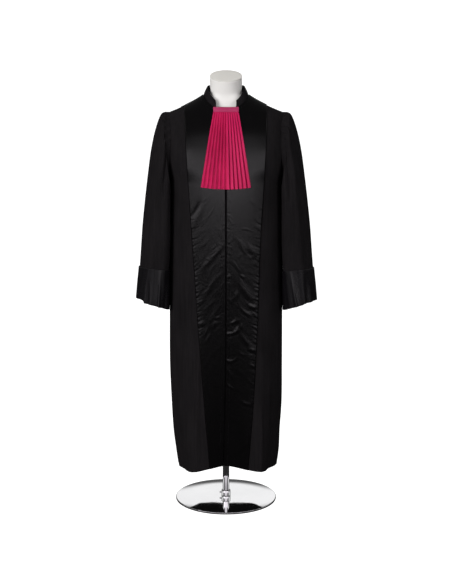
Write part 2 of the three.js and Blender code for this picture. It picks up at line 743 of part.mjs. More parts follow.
function neckTopRing(rise, radius) {
  return formRing(NECK_TOP.level + rise, radius, NECK_TOP.centreY, radius, radius, 2, NECK_TOP.tilt);
}

function capSolid() {
  const half = CAP.thickness / 2;
  return solidOfRings([
    neckTopRing(-half, CAP.radius),
    neckTopRing(half - CAP.bevel, CAP.radius),
    neckTopRing(half, CAP.radius - CAP.bevel),
  ]);
}

function lathe(profile, segments) {
  const points = profile.map(([r, z]) => new THREE.Vector2(r, z));
  return new THREE.LatheGeometry(points, segments).rotateX(Math.PI / 2);
}

function tubeProfile(inner, outer, low, high) {
  return [[inner, low], [outer, low], [outer, high], [inner, high], [inner, low]];
}

const FORM_FOOT = FORM[0].level;
const POLE_TOP = FORM_FOOT - FLANGE.thickness - 2 * GAP;

function baseProfile() {
  const { radius, thickness, rim } = BASE;
  const underside = [[0, 0], [radius - rim / 2, 0], [radius, rim / 2]];
  const topside = [[radius, thickness - rim], [radius - rim, thickness], [0, thickness]];
  return [...underside, ...topside];
}

function flangeProfile() {
  const top = FORM_FOOT - GAP;
  const plate = top - FLANGE.thickness;
  const foot = top - FLANGE.tubeHeight;
  const bore = POLE.radius + GAP;
  const inside = [[0, plate], [bore, plate], [bore, foot]];
  const outside = [[FLANGE.tubeRadius, foot], [FLANGE.tubeRadius, plate], [FLANGE.radius, plate]];
  return [...inside, ...outside, [FLANGE.radius, top], [0, top]];
}

function poleProfile() {
  const low = BASE.thickness + GAP;
  return [[0, low], [POLE.radius, low], [POLE.radius, POLE_TOP], [0, POLE_TOP]];
}

function socketProfile() {
  const low = BASE.thickness + GAP;
  return tubeProfile(POLE.radius + GAP, SOCKET.radius, low, low + SOCKET.height);
}

function screwGeometry() {
  const { radius, length, height, segments } = SCREW;
  const geometry = new THREE.CylinderGeometry(radius, radius, length, segments).rotateZ(Math.PI / 2);
  return geometry.translate(-(SOCKET.radius + GAP + length / 2), 0, BASE.thickness + height);
}

// Materials

const wool = new THREE.MeshStandardMaterial({ color: 0x17171a, roughness: 0.95, metalness: 0 });
const satin = new THREE.MeshStandardMaterial({ color: 0x1d1d20, roughness: 0.38, metalness: 0 });
const silk = new THREE.MeshStandardMaterial({ color: 0xb31a52, roughness: 0.5, metalness: 0 });
const formWhite = new THREE.MeshStandardMaterial({ color: 0xeeeeec, roughness: 0.45, metalness: 0 });
const capGrey = new THREE.MeshStandardMaterial({ color: 0xc6c4c0, roughness: 0.5, metalness: 0 });
const chrome = new THREE.MeshStandardMaterial({ color: 0xd6d6d8, roughness: 0.08, metalness: 1 });

// Assembly

const robe = new THREE.Group();

function add(name, geometry, material) {
  const mesh = new THREE.Mesh(geometry, material);
  mesh.name = name;
  robe.add(mesh);
}

for (const side of [-1, 1]) {
  const name = sideName(side);
  const places = frontPlaces(side);
  const bandPlaces = places.map((row) => row.slice(0, COLUMNS.band + 1));
  add(`front_${name}`, bodyWall(places, 0, WALL.wool), wool);
  add(`band_${name}`, bodyWall(bandPlaces, GAP + WALL.satin, WALL.satin), satin);
  add(`sleeve_${name}`, sleeveWall(SLEEVE_ROWS, () => 0, WALL.wool, side), wool);
  add(`cuff_${name}`, sleeveWall(CUFF_ROWS, cuffLift, WALL.cuff, side), satin);
}
add("back", bodyWall(backPlaces(), 0, WALL.wool), wool);
add("underlap", underlap(), wool);
add("collar", collarWall(), wool);
add("jabot_fan", jabotFan(), silk);
add("jabot_band", jabotBand(), silk);
add("form", formSolid(), formWhite);
add("neck_cap", capSolid(), capGrey);
add("form_socket", lathe(flangeProfile(), POLE.segments), chrome);
add("pole", lathe(poleProfile(), POLE.segments), chrome);
add("base_socket", lathe(socketProfile(), POLE.segments), chrome);
add("base_plate", lathe(baseProfile(), BASE.segments), chrome);
add("set_screw", screwGeometry(), chrome);

export default robe;
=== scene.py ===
import math

import bpy
import numpy as np
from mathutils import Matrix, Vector


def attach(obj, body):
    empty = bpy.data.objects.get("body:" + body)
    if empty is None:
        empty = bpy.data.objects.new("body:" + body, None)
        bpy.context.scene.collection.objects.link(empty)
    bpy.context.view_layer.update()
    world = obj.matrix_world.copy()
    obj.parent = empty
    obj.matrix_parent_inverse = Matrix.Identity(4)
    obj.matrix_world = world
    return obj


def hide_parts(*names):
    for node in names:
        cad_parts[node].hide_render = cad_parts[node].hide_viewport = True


# A judge's robe on a limbless dress form. Sizes are in millimetres, in the frame's axes: +Z up and
# -Y out of the robe's front. side is +1 for the wearer's left, at +X, and -1 for the right.

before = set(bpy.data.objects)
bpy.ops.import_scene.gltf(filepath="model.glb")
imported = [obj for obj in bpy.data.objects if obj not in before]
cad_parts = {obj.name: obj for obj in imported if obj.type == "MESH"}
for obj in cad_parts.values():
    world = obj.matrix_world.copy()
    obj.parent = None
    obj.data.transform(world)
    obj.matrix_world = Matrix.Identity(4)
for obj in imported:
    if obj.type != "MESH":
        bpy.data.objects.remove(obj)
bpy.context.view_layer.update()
MM = 0.001
SIDES = {"right": -1, "left": 1}


# Main sizes, as in the frame's solids

HEM_LEVEL = 137
HEM_FRONT_RISE, HEM_FRONT_REACH, HEM_FRONT_POWER = 20, 54, 1.6
HEM_RIGHT_DROP, HEM_BACK_DROP, HEM_FADE_TOP = 6, 31, 620
ARMPIT_LEVEL = 1200
SHOULDER_X, SHOULDER_LEVEL, SHOULDER_DIP = 203, 1451, 0.28
NECK_SIDE_X, NECK_SIDE_LEVEL, NECK_Y, NECK_FRONT, NECK_BACK, NECK_SQUARE = 81, 1511, 5, 79, 72, 2.6
ARMHOLE_SPREAD = 22
BAND_FLOAT, CUFF_SINK = 1.6, 5.5
WOOL, SATIN, COLLAR_WALL, CUFF_WALL, SILK, UNDERLAP_WALL = 2.0, 1.0, 2.4, 1.4, 1.2, 1.5
GAP, UNDERLAP_GAP = 0.3, 1.5
INNER_STEP, RIM_ROUND = 3, 0.3
CENTRE_GAP_TOP, CENTRE_GAP_HEM = 9, 4
CENTRE_WANDER, WANDER_TOP = 10, 620
THROAT_SHARE = 0.7

BODY_COLUMNS = ("level", "right", "left", "sideY", "front", "back", "square")
BODY = [
    (100, 173, 189, 10, 123, 188, 2.6),
    (139, 179, 193, 10, 124, 184, 2.6),
    (186, 186, 199, 10, 125, 179, 2.6),
    (264, 196, 202, 9, 126, 170, 2.7),
    (381, 203, 209, 8, 127, 160, 2.7),
    (535, 209, 209, 7, 128, 150, 2.8),
    (725, 208.5, 208.5, 6, 129, 141, 2.6),
    (886, 208, 208, 5, 131, 136, 2.4),
    (1050, 207.5, 207.5, 5, 133, 133, 2.4),
    (1200, 204, 204, 5, 134, 132, 2.6),
    (1260, 214, 214, 5, 132, 133, 2.8),
    (1330, 222, 222, 5, 127, 133, 2.7),
    (1400, 220, 220, 5, 110.5, 127, 2.5),
    (1451, 203, 203, 5, 84, 112, 2.3),
    (1490, 124, 124, 5, 64, 93, 2.1),
    (1511, 81, 81, 5, 54, 81, 2),
    (1540, 60, 60, 5, 42, 64, 2),
]

# Hanging folds: angle, spread, depth at the hem on the right and on the left, and top level.
BODY_FOLDS = [
    (0, 22, -14, -14, 700),
    (44, 12, 22, 25, 900),
    (66, 9, -6, -8, 700),
    (108, 11, 8, 6, 940),
    (131, 11, -12, -14, 1000),
    (154, 11, 13, 11, 1060),
    (180, 12, -12, -12, 1020),
]

# Finer folds in the hanging cloth: angle, spread, depth, top and full level.
FINE_FOLDS = {
    "right": [
        (58, 3.2, 1.8, 760, 330), (74, 3.6, -2.2, 640, 260), (97, 3.5, 1.6, 900, 420),
        (119, 3.4, 2.0, 1010, 520), (143, 3.8, -2.2, 900, 400), (167, 3.5, 2.2, 1120, 600),
        (38, 1.9, 4.6, 760, 460),
    ],
    "left": [
        (55, 3.4, 1.4, 700, 300), (78, 3.2, -2.0, 720, 300), (101, 3.9, 1.9, 820, 380),
        (123, 3.6, -1.8, 1060, 560), (140, 3.2, 2.1, 880, 430), (163, 4.0, -2.0, 1000, 520),
        (44, 1.9, 4.0, 460, 260),
    ],
}

BAND_EDGE_COLUMNS = ("level", "right", "left")
BAND_EDGE = [
    (100, 62, 83), (139, 62, 83), (381, 80, 100), (560, 93, 109), (720, 104, 116),
    (880, 114, 120), (1030, 124, 126), (1220, 136, 137), (1400, 146, 145), (1511, 150, 147),
]

SLEEVE_COLUMNS = ("along", "outerX", "outerZ", "innerX", "innerZ", "halfDepth", "centreY", "square")
SLEEVE = [
    (0, 203, 1451, 204, 1200, 80, 5, 2),
    (1, 220, 1451, 207, 1203, 89, 5, 2.1),
    (2, 237, 1438, 210, 1200, 93, 4, 2.2),
    (3, 256, 1386, 210, 1172, 96, 3, 2.3),
    (4, 272, 1314, 210, 1130, 97, 2, 2.3),
    (5, 285, 1222, 210, 1075, 96, 1, 2.3),
    (6, 296, 1133, 210, 1015, 95, 0, 2.3),
    (7, 306, 1040, 211, 965, 94, 0, 2.3),
    (8, 313, 949, 213, 915, 93, 0, 2.3),
    (9, 318, 889, 216, 880, 92, 0, 2.3),
    (10, 325, 828, 217, 809, 92, 0, 2.3),
    (11, 331, 769, 219, 738, 93, 0, 2.3),
]
SLEEVE_END, CUFF_START, CUFF_FLARE = 11, 9, 1.2
SLEEVE_SPREAD = {-1: 0, 1: 4}
SLEEVE_DROP = {-1: 0, 1: 5}
SLEEVE_LEAN, SLEEVE_BACK_LEAN, SLEEVE_FLATTEN, HANG_START, HANG_FULL = 0.2, 0.15, 1.2, 1, 3
SLEEVE_LIFT, LIFT_START, LIFT_FULL = 8, 6, 10
PLEAT_ANGLES = (28, 50, 72, 288, 310, 332)
PLEAT_SPREAD = 6
PLEAT_DEPTH = (0, 3, 3.6, 2.0, 1.0, 0.5, 0.2, 0, 0, 0, 0, 0)


# Reading the tables

def column(table, names, name, at):
    """A smooth curve through one column of a table, read at an array of places."""
    at = np.asarray(at, float)
    x = np.array([row[0] for row in table], float)
    y = np.array([row[names.index(name)] for row in table], float)
    slope = np.gradient(y) / np.gradient(x)
    slope[1:-1] = (y[2:] - y[:-2]) / (x[2:] - x[:-2])
    i = np.clip(np.searchsorted(x, at, side="left") - 1, 0, len(x) - 2)
    span = x[i + 1] - x[i]
    t = np.clip((at - x[i]) / span, 0, 1)
    rise = y[i + 1] - y[i]
    start = slope[i] * span - rise
    end = rise - slope[i + 1] * span
    return y[i] + rise * t + t * (1 - t) * ((1 - t) * start + t * end)


def lerp(a, b, t):
    return a + (b - a) * t


def smooth(t):
    t = np.clip(t, 0, 1)
    return t * t * (3 - 2 * t)


def side_name(side):
    return "left" if side > 0 else "right"


# The robe's body as a surface

def rounded_radius(angle, half, depth, square):
    across = np.abs(np.sin(angle)) / half
    along = np.abs(np.cos(angle)) / depth
    return (across ** square + along ** square) ** (-1 / square)


def half_width(level, side):
    share = (level - SHOULDER_LEVEL) / (NECK_SIDE_LEVEL - SHOULDER_LEVEL)
    ridge = lerp(SHOULDER_X, NECK_SIDE_X, share + SHOULDER_DIP * share * (1 - share))
    return np.where(level > SHOULDER_LEVEL, ridge, column(BODY, BODY_COLUMNS, side_name(side), level))


def body_folds(degrees, level, side):
    push = np.zeros(np.broadcast(degrees, level).shape)
    for angle, spread, right, left, top in BODY_FOLDS:
        grown = np.clip((top - level) / (top - HEM_LEVEL), 0, 1.05) ** 1.5
        push += (left if side > 0 else right) * np.exp(-((degrees - angle) / spread) ** 2) * grown
    for angle, spread, depth, top, full in FINE_FOLDS[side_name(side)]:
        grown = smooth((top - level) / (top - full))
        drift = angle + 1.5 * np.sin(level / 170 + angle)
        push += depth * np.exp(-((degrees - drift) / spread) ** 2) * grown
    return push


def hem_shift(degrees, level, side):
    fade = np.clip((HEM_FADE_TOP - level) / (HEM_FADE_TOP - HEM_LEVEL), 0, 1) ** 2
    forward = np.clip(np.cos(np.clip(degrees / HEM_FRONT_REACH, 0, 1) * math.pi / 2), 0, 1)
    rise = HEM_FRONT_RISE * forward ** HEM_FRONT_POWER
    drop = np.where(degrees > 90, HEM_BACK_DROP * np.sin(np.radians(degrees - 90)) ** 2, 0)
    uneven = HEM_RIGHT_DROP * np.sin(np.radians(degrees)) ** 2 if side < 0 else 0
    return (rise - drop - uneven) * fade


def body_point(degrees, level, side):
    degrees, level = np.broadcast_arrays(np.asarray(degrees, float), np.asarray(level, float))
    angle = np.radians(degrees)
    front = column(BODY, BODY_COLUMNS, "front", level)
    back = column(BODY, BODY_COLUMNS, "back", level)
    square = column(BODY, BODY_COLUMNS, "square", level)
    turned = np.minimum(np.abs(degrees), 360 - np.abs(degrees))
    radius = rounded_radius(angle, half_width(level, side), np.where(degrees < 90, front, back), square)
    radius = radius + body_folds(turned, level, side)
    side_y = column(BODY, BODY_COLUMNS, "sideY", level)
    x = side * radius * np.sin(angle)
    return np.stack([x, side_y - radius * np.cos(angle), level + hem_shift(turned, level, side)], -1)


def unit(vectors):
    return vectors / np.maximum(np.linalg.norm(vectors, axis=-1, keepdims=True), 1e-9)


def body_normal(degrees, level, side):
    around = body_point(degrees + 0.3, level, side) - body_point(degrees - 0.3, level, side)
    up = body_point(degrees, level + 1, side) - body_point(degrees, level - 1, side)
    return unit(np.cross(around, up) * side)


def angle_at_x(x, level, side):
    """The angle at a distance from the centre, which is below 0 across the centre line."""
    low = np.full(np.shape(level), -15.0)
    high = np.full(np.shape(level), 90.0)
    for _ in range(30):
        middle = (low + high) / 2
        short = side * body_point(middle, level, side)[..., 0] < x
        low = np.where(short, middle, low)
        high = np.where(short, high, middle)
    return high


def neckline_level(degrees):
    degrees = np.asarray(degrees, float)
    forward = degrees < 90
    depth = np.where(forward, NECK_FRONT, NECK_BACK)
    plan = rounded_radius(np.radians(degrees), NECK_SIDE_X, depth, np.where(forward, NECK_SQUARE, 2))
    low = np.full(degrees.shape, float(SHOULDER_LEVEL))
    high = np.full(degrees.shape, NECK_SIDE_LEVEL + 25.0)
    for _ in range(28):
        middle = (low + high) / 2
        p = body_point(degrees, middle, 1)
        wide = np.hypot(p[..., 0], p[..., 1] - NECK_Y) > plan
        low = np.where(wide, middle, low)
        high = np.where(wide, high, middle)
    return low


THROAT_LEVEL = float(neckline_level(0.0))
NAPE_LEVEL = float(neckline_level(180.0))


def armhole_place(share, face):
    turn = np.asarray(share) * math.pi
    middle = (SHOULDER_LEVEL + ARMPIT_LEVEL) / 2
    half = (SHOULDER_LEVEL - ARMPIT_LEVEL) / 2
    return 90 + face * ARMHOLE_SPREAD * np.sin(turn), middle - half * np.cos(turn)


# Grids of places on the panels: each is (degrees, level)

def centre_edge(level, side):
    """The opening's edge. Towards the hem the opening wanders to the wearer's right."""
    share = (level - HEM_LEVEL) / (THROAT_LEVEL - HEM_LEVEL)
    wander = CENTRE_WANDER * np.clip((WANDER_TOP - level) / (WANDER_TOP - HEM_LEVEL), 0, 1) ** 1.4
    half = lerp(CENTRE_GAP_HEM, CENTRE_GAP_TOP, share) / 2 - side * wander
    return angle_at_x(half, level, side)


def band_edge(level, side):
    return angle_at_x(column(BAND_EDGE, BAND_EDGE_COLUMNS, side_name(side), level), level, side)


def front_edges(side, lower, upper):
    """The inner, band and outer edges of a front, row by row, as (degrees, level)."""
    low = np.linspace(HEM_LEVEL, ARMPIT_LEVEL, lower)
    share = np.linspace(0, 1, upper + 1)[1:]
    centred = share <= THROAT_SHARE
    inner_level = lerp(ARMPIT_LEVEL, THROAT_LEVEL, np.minimum(share / THROAT_SHARE, 1))
    inner_angle = centre_edge(inner_level, side)
    start = centre_edge(np.array([THROAT_LEVEL]), side)[0]
    past = lerp(start, 90, np.clip((share - THROAT_SHARE) / (1 - THROAT_SHARE), 0, 1))
    inner_angle = np.where(centred, inner_angle, past)
    inner_level = np.where(centred, inner_level, neckline_level(past))
    outer_angle, outer_level = armhole_place(share, -1)
    band_level = (inner_level + outer_level) / 2
    inner = np.stack([np.r_[centre_edge(low, side), inner_angle], np.r_[low, inner_level]], -1)
    band = np.stack([np.r_[band_edge(low, side), band_edge(band_level, side)], np.r_[low, band_level]], -1)
    outer = np.stack([np.r_[np.full(lower, 90.0), outer_angle], np.r_[low, outer_level]], -1)
    return inner, band, outer


def spread(start, end, steps, last=False):
    t = np.linspace(0, 1, steps + 1)[: None if last else -1]
    return start[:, None, :] + (end - start)[:, None, :] * t[None, :, None]


# Meshes

def make_object(name, vertices, groups, uv_groups, material):
    """A smooth mesh from arrays of triangles and of quads, with a UV for each of their corners."""
    mesh = bpy.data.meshes.new(name)
    mesh.vertices.add(len(vertices))
    mesh.vertices.foreach_set("co", (np.asarray(vertices) * MM).ravel())
    corners = np.concatenate([group.ravel() for group in groups])
    sizes = np.concatenate([np.full(len(group), group.shape[1]) for group in groups])
    mesh.loops.add(len(corners))
    mesh.loops.foreach_set("vertex_index", corners.astype(np.int32))
    mesh.polygons.add(len(sizes))
    mesh.polygons.foreach_set("loop_start", (np.cumsum(sizes) - sizes).astype(np.int32))
    mesh.polygons.foreach_set("use_smooth", np.ones(len(sizes), bool))
    if uv_groups is not None:
        layer = mesh.uv_layers.new(name="UVMap")
        corner_uv = np.concatenate([group.reshape(-1, 2) for group in uv_groups])
        layer.data.foreach_set("uv", (corner_uv * MM).ravel())
    mesh.update(calc_edges=True)
    mesh.validate()
    mesh.materials.append(material)
    piece = bpy.data.objects.new(name, mesh)
    bpy.context.scene.collection.objects.link(piece)
    return piece


def signed_volume(vertices, groups):
    total = 0.0
    for group in groups:
        corners = [vertices[group[:, k]] for k in range(group.shape[1])]
        for b, c in zip(corners[1:], corners[2:]):
            total += float(np.sum(corners[0] * np.cross(b, c)))
    return total


def facing_out(vertices, groups, uv_groups):
    if signed_volume(vertices, groups) > 0:
        return groups, uv_groups
    return [group[:, ::-1] for group in groups], uv_groups and [group[:, ::-1] for group in uv_groups]


def grid_normals(points, closed):
    if closed:
        wide = np.concatenate([points[:, -1:], points, points[:, :1]], 1)
        across = (wide[:, 2:] - wide[:, :-2]) / 2
    else:
        across = np.gradient(points, axis=1)
    return unit(np.cross(across, np.gradient(points, axis=0)))


def grid_uv(points, closed):
    """Lengths along the cloth, in millimetres, at every grid point."""
    wide = np.concatenate([points, points[:, :1]], 1) if closed else points
    u = np.cumsum(np.linalg.norm(np.diff(wide, axis=1, prepend=wide[:, :1]), axis=-1), axis=1)
    v = np.cumsum(np.linalg.norm(np.diff(wide, axis=0, prepend=wide[:1]), axis=-1), axis=0)
    u = u - u[:, wide.shape[1] // 2][:, None]
    return np.stack([u, np.repeat(v.mean(1, keepdims=True), wide.shape[1], 1)], -1)


def grid_quads(rows, columns, closed):
    i, j = np.mgrid[0 : rows - 1, 0 : columns if closed else columns - 1]
    i, j = i.ravel(), j.ravel()
    right = (j + 1) % columns
    low, high = i * columns, (i + 1) * columns
    return np.stack([low + j, low + right, high + right, high + j], -1)


def grid_quads_uv(uv, rows, columns, closed):
    wide = columns + 1 if closed else columns
    i, j = np.mgrid[0 : rows - 1, 0 : wide - 1]
    i, j = i.ravel(), j.ravel()
    flat = uv.reshape(-1, 2)
    low, high = i * wide + j, (i + 1) * wide + j
    return flat[np.stack([low, low + 1, high + 1, high], -1)]


def kept(count, closed):
    """Every INNER_STEP-th row or column, with both ends of an open one."""
    parts = max(round(count / INNER_STEP), 4)
    places = np.linspace(0, count, parts, endpoint=False) if closed else np.linspace(0, count - 1, parts)
    return np.unique(np.round(places).astype(int))


def nearest(kept_places, count, closed):
    """For every place, the nearest kept one's number."""
    at = np.arange(count)
    if closed:
        gap = np.abs((at[:, None] - kept_places[None, :] + count / 2) % count - count / 2)
    else:
        gap = np.abs(at[:, None] - kept_places[None, :])
    return gap.argmin(1)


def outward_normals(points, outward, closed=False):
    normals = grid_normals(points, closed)
    return -normals if np.sum(normals * outward) < 0 else normals


def next_round(values):
    """The next value round a loop, for each."""
    return np.roll(values, -1, axis=0)


def wall(name, points, thickness, material, outward, closed=False):
    """A closed cloth wall with rounded rims, from a grid of its outside points. Its inside is coarser."""
    rows, columns = points.shape[:2]
    normals = outward_normals(points, outward, closed)
    thickness = np.broadcast_to(np.asarray(thickness, float), (rows, columns))[..., None]
    kept_rows, kept_columns = kept(rows, False), kept(columns, closed)
    inner = (points - normals * thickness)[np.ix_(kept_rows, kept_columns)]
    uv = grid_uv(points, closed)
    size = rows * columns
    inner_uv = uv[np.ix_(kept_rows, np.append(kept_columns, columns) if closed else kept_columns)]
    groups = [grid_quads(rows, columns, closed),
              grid_quads(len(kept_rows), len(kept_columns), closed)[:, ::-1] + size]
    uv_groups = [grid_quads_uv(uv, rows, columns, closed),
                 grid_quads_uv(inner_uv, len(kept_rows), len(kept_columns), closed)[:, ::-1]]
    near_row, near_column = nearest(kept_rows, rows, False), nearest(kept_columns, columns, closed)
    flat, flat_inner = points.reshape(-1, 3), (points - normals * thickness).reshape(-1, 3)
    flat_uv = uv[:, :columns].reshape(-1, 2)
    push = rim_push(points, closed).reshape(-1, 3)
    vertices = [flat, inner.reshape(-1, 3)]
    count = size + len(kept_rows) * len(kept_columns)
    for loop in rim_loops(rows, columns, closed):
        depth = np.linalg.norm(flat[loop] - flat_inner[loop], axis=-1, keepdims=True)
        vertices.append((flat[loop] + flat_inner[loop]) / 2 + push[loop] * depth * RIM_ROUND)
        ring = np.arange(len(loop)) + count
        count += len(loop)
        inside = size + near_row[loop // columns] * len(kept_columns) + near_column[loop % columns]
        groups.append(np.stack([next_round(loop), loop, ring, next_round(ring)], -1))
        loop_uv = flat_uv[loop]
        uv_groups.append(np.stack([next_round(loop_uv), loop_uv, loop_uv, next_round(loop_uv)], 1))
        moved = inside != next_round(inside)
        groups.append(np.stack([next_round(ring), ring, inside, next_round(inside)], -1)[moved])
        uv_groups.append(uv_groups[-1][moved])
        groups.append(np.stack([next_round(ring), ring, inside], -1)[~moved])
        uv_groups.append(uv_groups[-2][~moved][:, :3])
    vertices = np.concatenate(vertices)
    groups, uv_groups = facing_out(vertices, groups, uv_groups)
    return make_object(name, vertices, groups, uv_groups, material)


def rim_loops(rows, columns, closed):
    if closed:
        first = np.arange(columns)
        return [first, ((rows - 1) * columns + first)[::-1]]
    first = np.arange(columns)
    right = np.arange(1, rows) * columns + columns - 1
    back = (rows - 1) * columns + np.arange(columns - 1)[::-1]
    left = (np.arange(1, rows - 1) * columns)[::-1]
    return [np.concatenate([first, right, back, left])]


def rim_push(points, closed):
    push = np.zeros_like(points)
    push[0] += unit(points[0] - points[1])
    push[-1] += unit(points[-1] - points[-2])
    if not closed:
        push[:, 0] += unit(points[:, 0] - points[:, 1])
        push[:, -1] += unit(points[:, -1] - points[:, -2])
    return unit(push)


def turned_rings(profile, segments):
    """Rings of points round the axis, from rows of (radius, level)."""
    angle = np.linspace(0, 2 * math.pi, segments, endpoint=False)
    ring = np.stack([np.sin(angle), -np.cos(angle)], -1)
    across, level = profile[:, None, :1] * ring[None], np.repeat(profile[:, None, 1:], segments, 1)
    return np.concatenate([across, level], -1)


def revolve(name, profile, material, segments=96):
    """A turned solid from a profile of (radius, level), whose flat ends are closed to the axis."""
    return capped(name, turned_rings(np.array(profile, float), segments), material)


def capped(name, rings, material):
    """A closed solid from rings of points, with a centre point at each end."""
    rows, columns = rings.shape[:2]
    vertices = np.concatenate([rings.reshape(-1, 3), [rings[0].mean(0), rings[-1].mean(0)]])
    k = np.arange(columns)
    after = (k + 1) % columns
    foot = np.full(columns, rows * columns)
    top = (rows - 1) * columns
    ends = np.concatenate([np.stack([foot, after, k], -1), np.stack([foot + 1, top + k, top + after], -1)])
    groups, _ = facing_out(vertices, [grid_quads(rows, columns, True), ends], None)
    return make_object(name, vertices, groups, None, material)


# Node materials

def new_material(name):
    material = bpy.data.materials.new(name)
    material.use_nodes = True
    nodes = material.node_tree.nodes
    return material, nodes, material.node_tree.links, nodes["Principled BSDF"]


def node(nodes, kind, inputs=(), **settings):
    made = nodes.new(kind)
    for key, value in settings.items():
        setattr(made, key, value)
    for key, value in dict(inputs).items():
        made.inputs[key].default_value = value
    return made


def noise(nodes, links, vector, scale, detail=4.0, stretch=(1, 1, 1)):
    mapping = node(nodes, "ShaderNodeMapping", {"Scale": stretch})
    links.new(vector, mapping.inputs["Vector"])
    made = node(nodes, "ShaderNodeTexNoise", {"Scale": scale, "Detail": detail, "Roughness": 0.55})
    links.new(mapping.outputs["Vector"], made.inputs["Vector"])
    return made.outputs["Fac"]


def ramp(nodes, links, value, stops):
    made = nodes.new("ShaderNodeValToRGB")
    elements = made.color_ramp.elements
    elements[0].position, elements[0].color = stops[0]
    elements[1].position, elements[1].color = stops[-1]
    for position, color in stops[1:-1]:
        elements.new(position).color = color
    links.new(value, made.inputs["Fac"])
    return made.outputs["Color"]


def map_range(nodes, links, value, low, high):
    made = node(nodes, "ShaderNodeMapRange", {"To Min": low, "To Max": high})
    links.new(value, made.inputs["Value"])
    return made.outputs["Result"]


def combine(nodes, links, operation, a, b):
    made = node(nodes, "ShaderNodeMath", operation=operation)
    for slot, value in zip(made.inputs, (a, b)):
        if isinstance(value, (int, float)):
            slot.default_value = value
        else:
            links.new(value, slot)
    return made.outputs[0]


def threads(nodes, links, vector, period, turn):
    """Ridges across the cloth with a period in metres, turned in its plane."""
    mapping = node(nodes, "ShaderNodeMapping", {"Rotation": (0, 0, math.radians(turn))})
    links.new(vector, mapping.inputs["Vector"])
    wave = node(nodes, "ShaderNodeTexWave", {"Scale": 0.314 / period, "Distortion": 0.4, "Detail": 1.0},
                bands_direction="X")
    links.new(mapping.outputs["Vector"], wave.inputs["Vector"])
    return wave.outputs["Fac"]


def bump(nodes, links, height, distance, strength, shader):
    made = node(nodes, "ShaderNodeBump", {"Strength": strength, "Distance": distance})
    links.new(height, made.inputs["Height"])
    links.new(made.outputs["Normal"], shader.inputs["Normal"])


def cloth_material(name, dark, light, roughness, weave, fuzz, sheen, specular, grain=0.0):
    """Woven cloth: thread ridges, fibre noise, slow shade changes and a soft sheen."""
    material, nodes, links, shader = new_material(name)
    uv = node(nodes, "ShaderNodeUVMap", uv_map="UVMap").outputs["UV"]
    where = node(nodes, "ShaderNodeTexCoord").outputs["Object"]
    slow = noise(nodes, links, where, 14.0, 3.0, (1, 1, 0.45))
    fibre = noise(nodes, links, uv, 900.0, 2.0, fuzz)
    shade = combine(nodes, links, "ADD", combine(nodes, links, "MULTIPLY", slow, 0.7),
                    combine(nodes, links, "MULTIPLY", fibre, 0.3))
    streaks = noise(nodes, links, where, 170.0, 3.0, (1, 1, 0.035))
    shade = combine(nodes, links, "ADD", combine(nodes, links, "MULTIPLY", shade, 1 - grain),
                    combine(nodes, links, "MULTIPLY", streaks, grain))
    tone = ramp(nodes, links, shade, [(0.32, (*dark, 1)), (0.68, (*light, 1))])
    links.new(tone, shader.inputs["Base Color"])
    links.new(map_range(nodes, links, shade, roughness + 0.05, roughness - 0.05), shader.inputs["Roughness"])
    height = combine(nodes, links, "MULTIPLY", fibre, 0.5)
    for period, turn, share in weave:
        height = combine(nodes, links, "ADD", height,
                         combine(nodes, links, "MULTIPLY", threads(nodes, links, uv, period, turn), share))
    bump(nodes, links, height, 0.00025, 0.35, shader)
    shader.inputs["Specular IOR Level"].default_value = specular
    shader.inputs["Sheen Weight"].default_value = sheen
    shader.inputs["Sheen Roughness"].default_value = 0.45
    return material


def smooth_material(name, color, roughness, metallic=0.0, coat=0.0, grain=60.0, depth=0.00008):
    """Hard surface: a slight wave, fine wear in its gloss and a slow shade change."""
    material, nodes, links, shader = new_material(name)
    where = node(nodes, "ShaderNodeTexCoord").outputs["Object"]
    slow = noise(nodes, links, where, 9.0, 3.0)
    wear = noise(nodes, links, where, 220.0, 5.0, (1, 1, 0.3))
    low = tuple(c * 0.95 for c in color)
    links.new(ramp(nodes, links, slow, [(0.3, (*low, 1)), (0.7, (*color, 1))]), shader.inputs["Base Color"])
    links.new(map_range(nodes, links, wear, roughness * 0.8, roughness * 1.25), shader.inputs["Roughness"])
    bump(nodes, links, noise(nodes, links, where, grain, 2.0), depth, 0.2, shader)
    shader.inputs["Metallic"].default_value = metallic
    shader.inputs["Coat Weight"].default_value = coat
    return material


WOOL_CLOTH = cloth_material("robe_wool", (0.0055, 0.0050, 0.0054), (0.0110, 0.0098, 0.0106), 0.9,
                            [(0.0011, 45, 0.6), (0.0006, -45, 0.25)], (1, 1, 1), 0.0, 0.06, 0.4)
SATIN_CLOTH = cloth_material("robe_satin", (0.0008, 0.0007, 0.0008), (0.0017, 0.0015, 0.0017), 0.22,
                             [(0.0005, 90, 0.35), (0.0005, 0, 0.12)], (0.12, 1, 1), 0.0, 0.35)
SILK_CLOTH = cloth_material("jabot_silk", (0.35, 0.0078, 0.058), (0.54, 0.0155, 0.098), 0.44,
                            [(0.0005, 90, 0.35), (0.0005, 0, 0.2)], (0.2, 1, 1), 0.0, 0.22)
CUFF_SATIN = cloth_material("cuff_satin", (0.0024, 0.0022, 0.0027), (0.0050, 0.0045, 0.0055), 0.28,
                            [(0.0005, 90, 0.35), (0.0005, 0, 0.12)], (0.12, 1, 1), 0.0, 0.31)
SILK_BAND = cloth_material("jabot_band_silk", (0.25, 0.024, 0.072), (0.38, 0.036, 0.110), 0.48,
                           [(0.0005, 0, 0.35)], (1, 0.2, 1), 0.0, 0.22)
FORM_WHITE = smooth_material("form_white_shell", (0.72, 0.71, 0.685), 0.42, coat=0.15)
CAP_GREY = smooth_material("cap_grey_disc", (0.57, 0.555, 0.52), 0.5)
CHROME = smooth_material("polished_chrome", (0.86, 0.86, 0.87), 0.05,
                         metallic=0.994, grain=12.0, depth=0.00003)
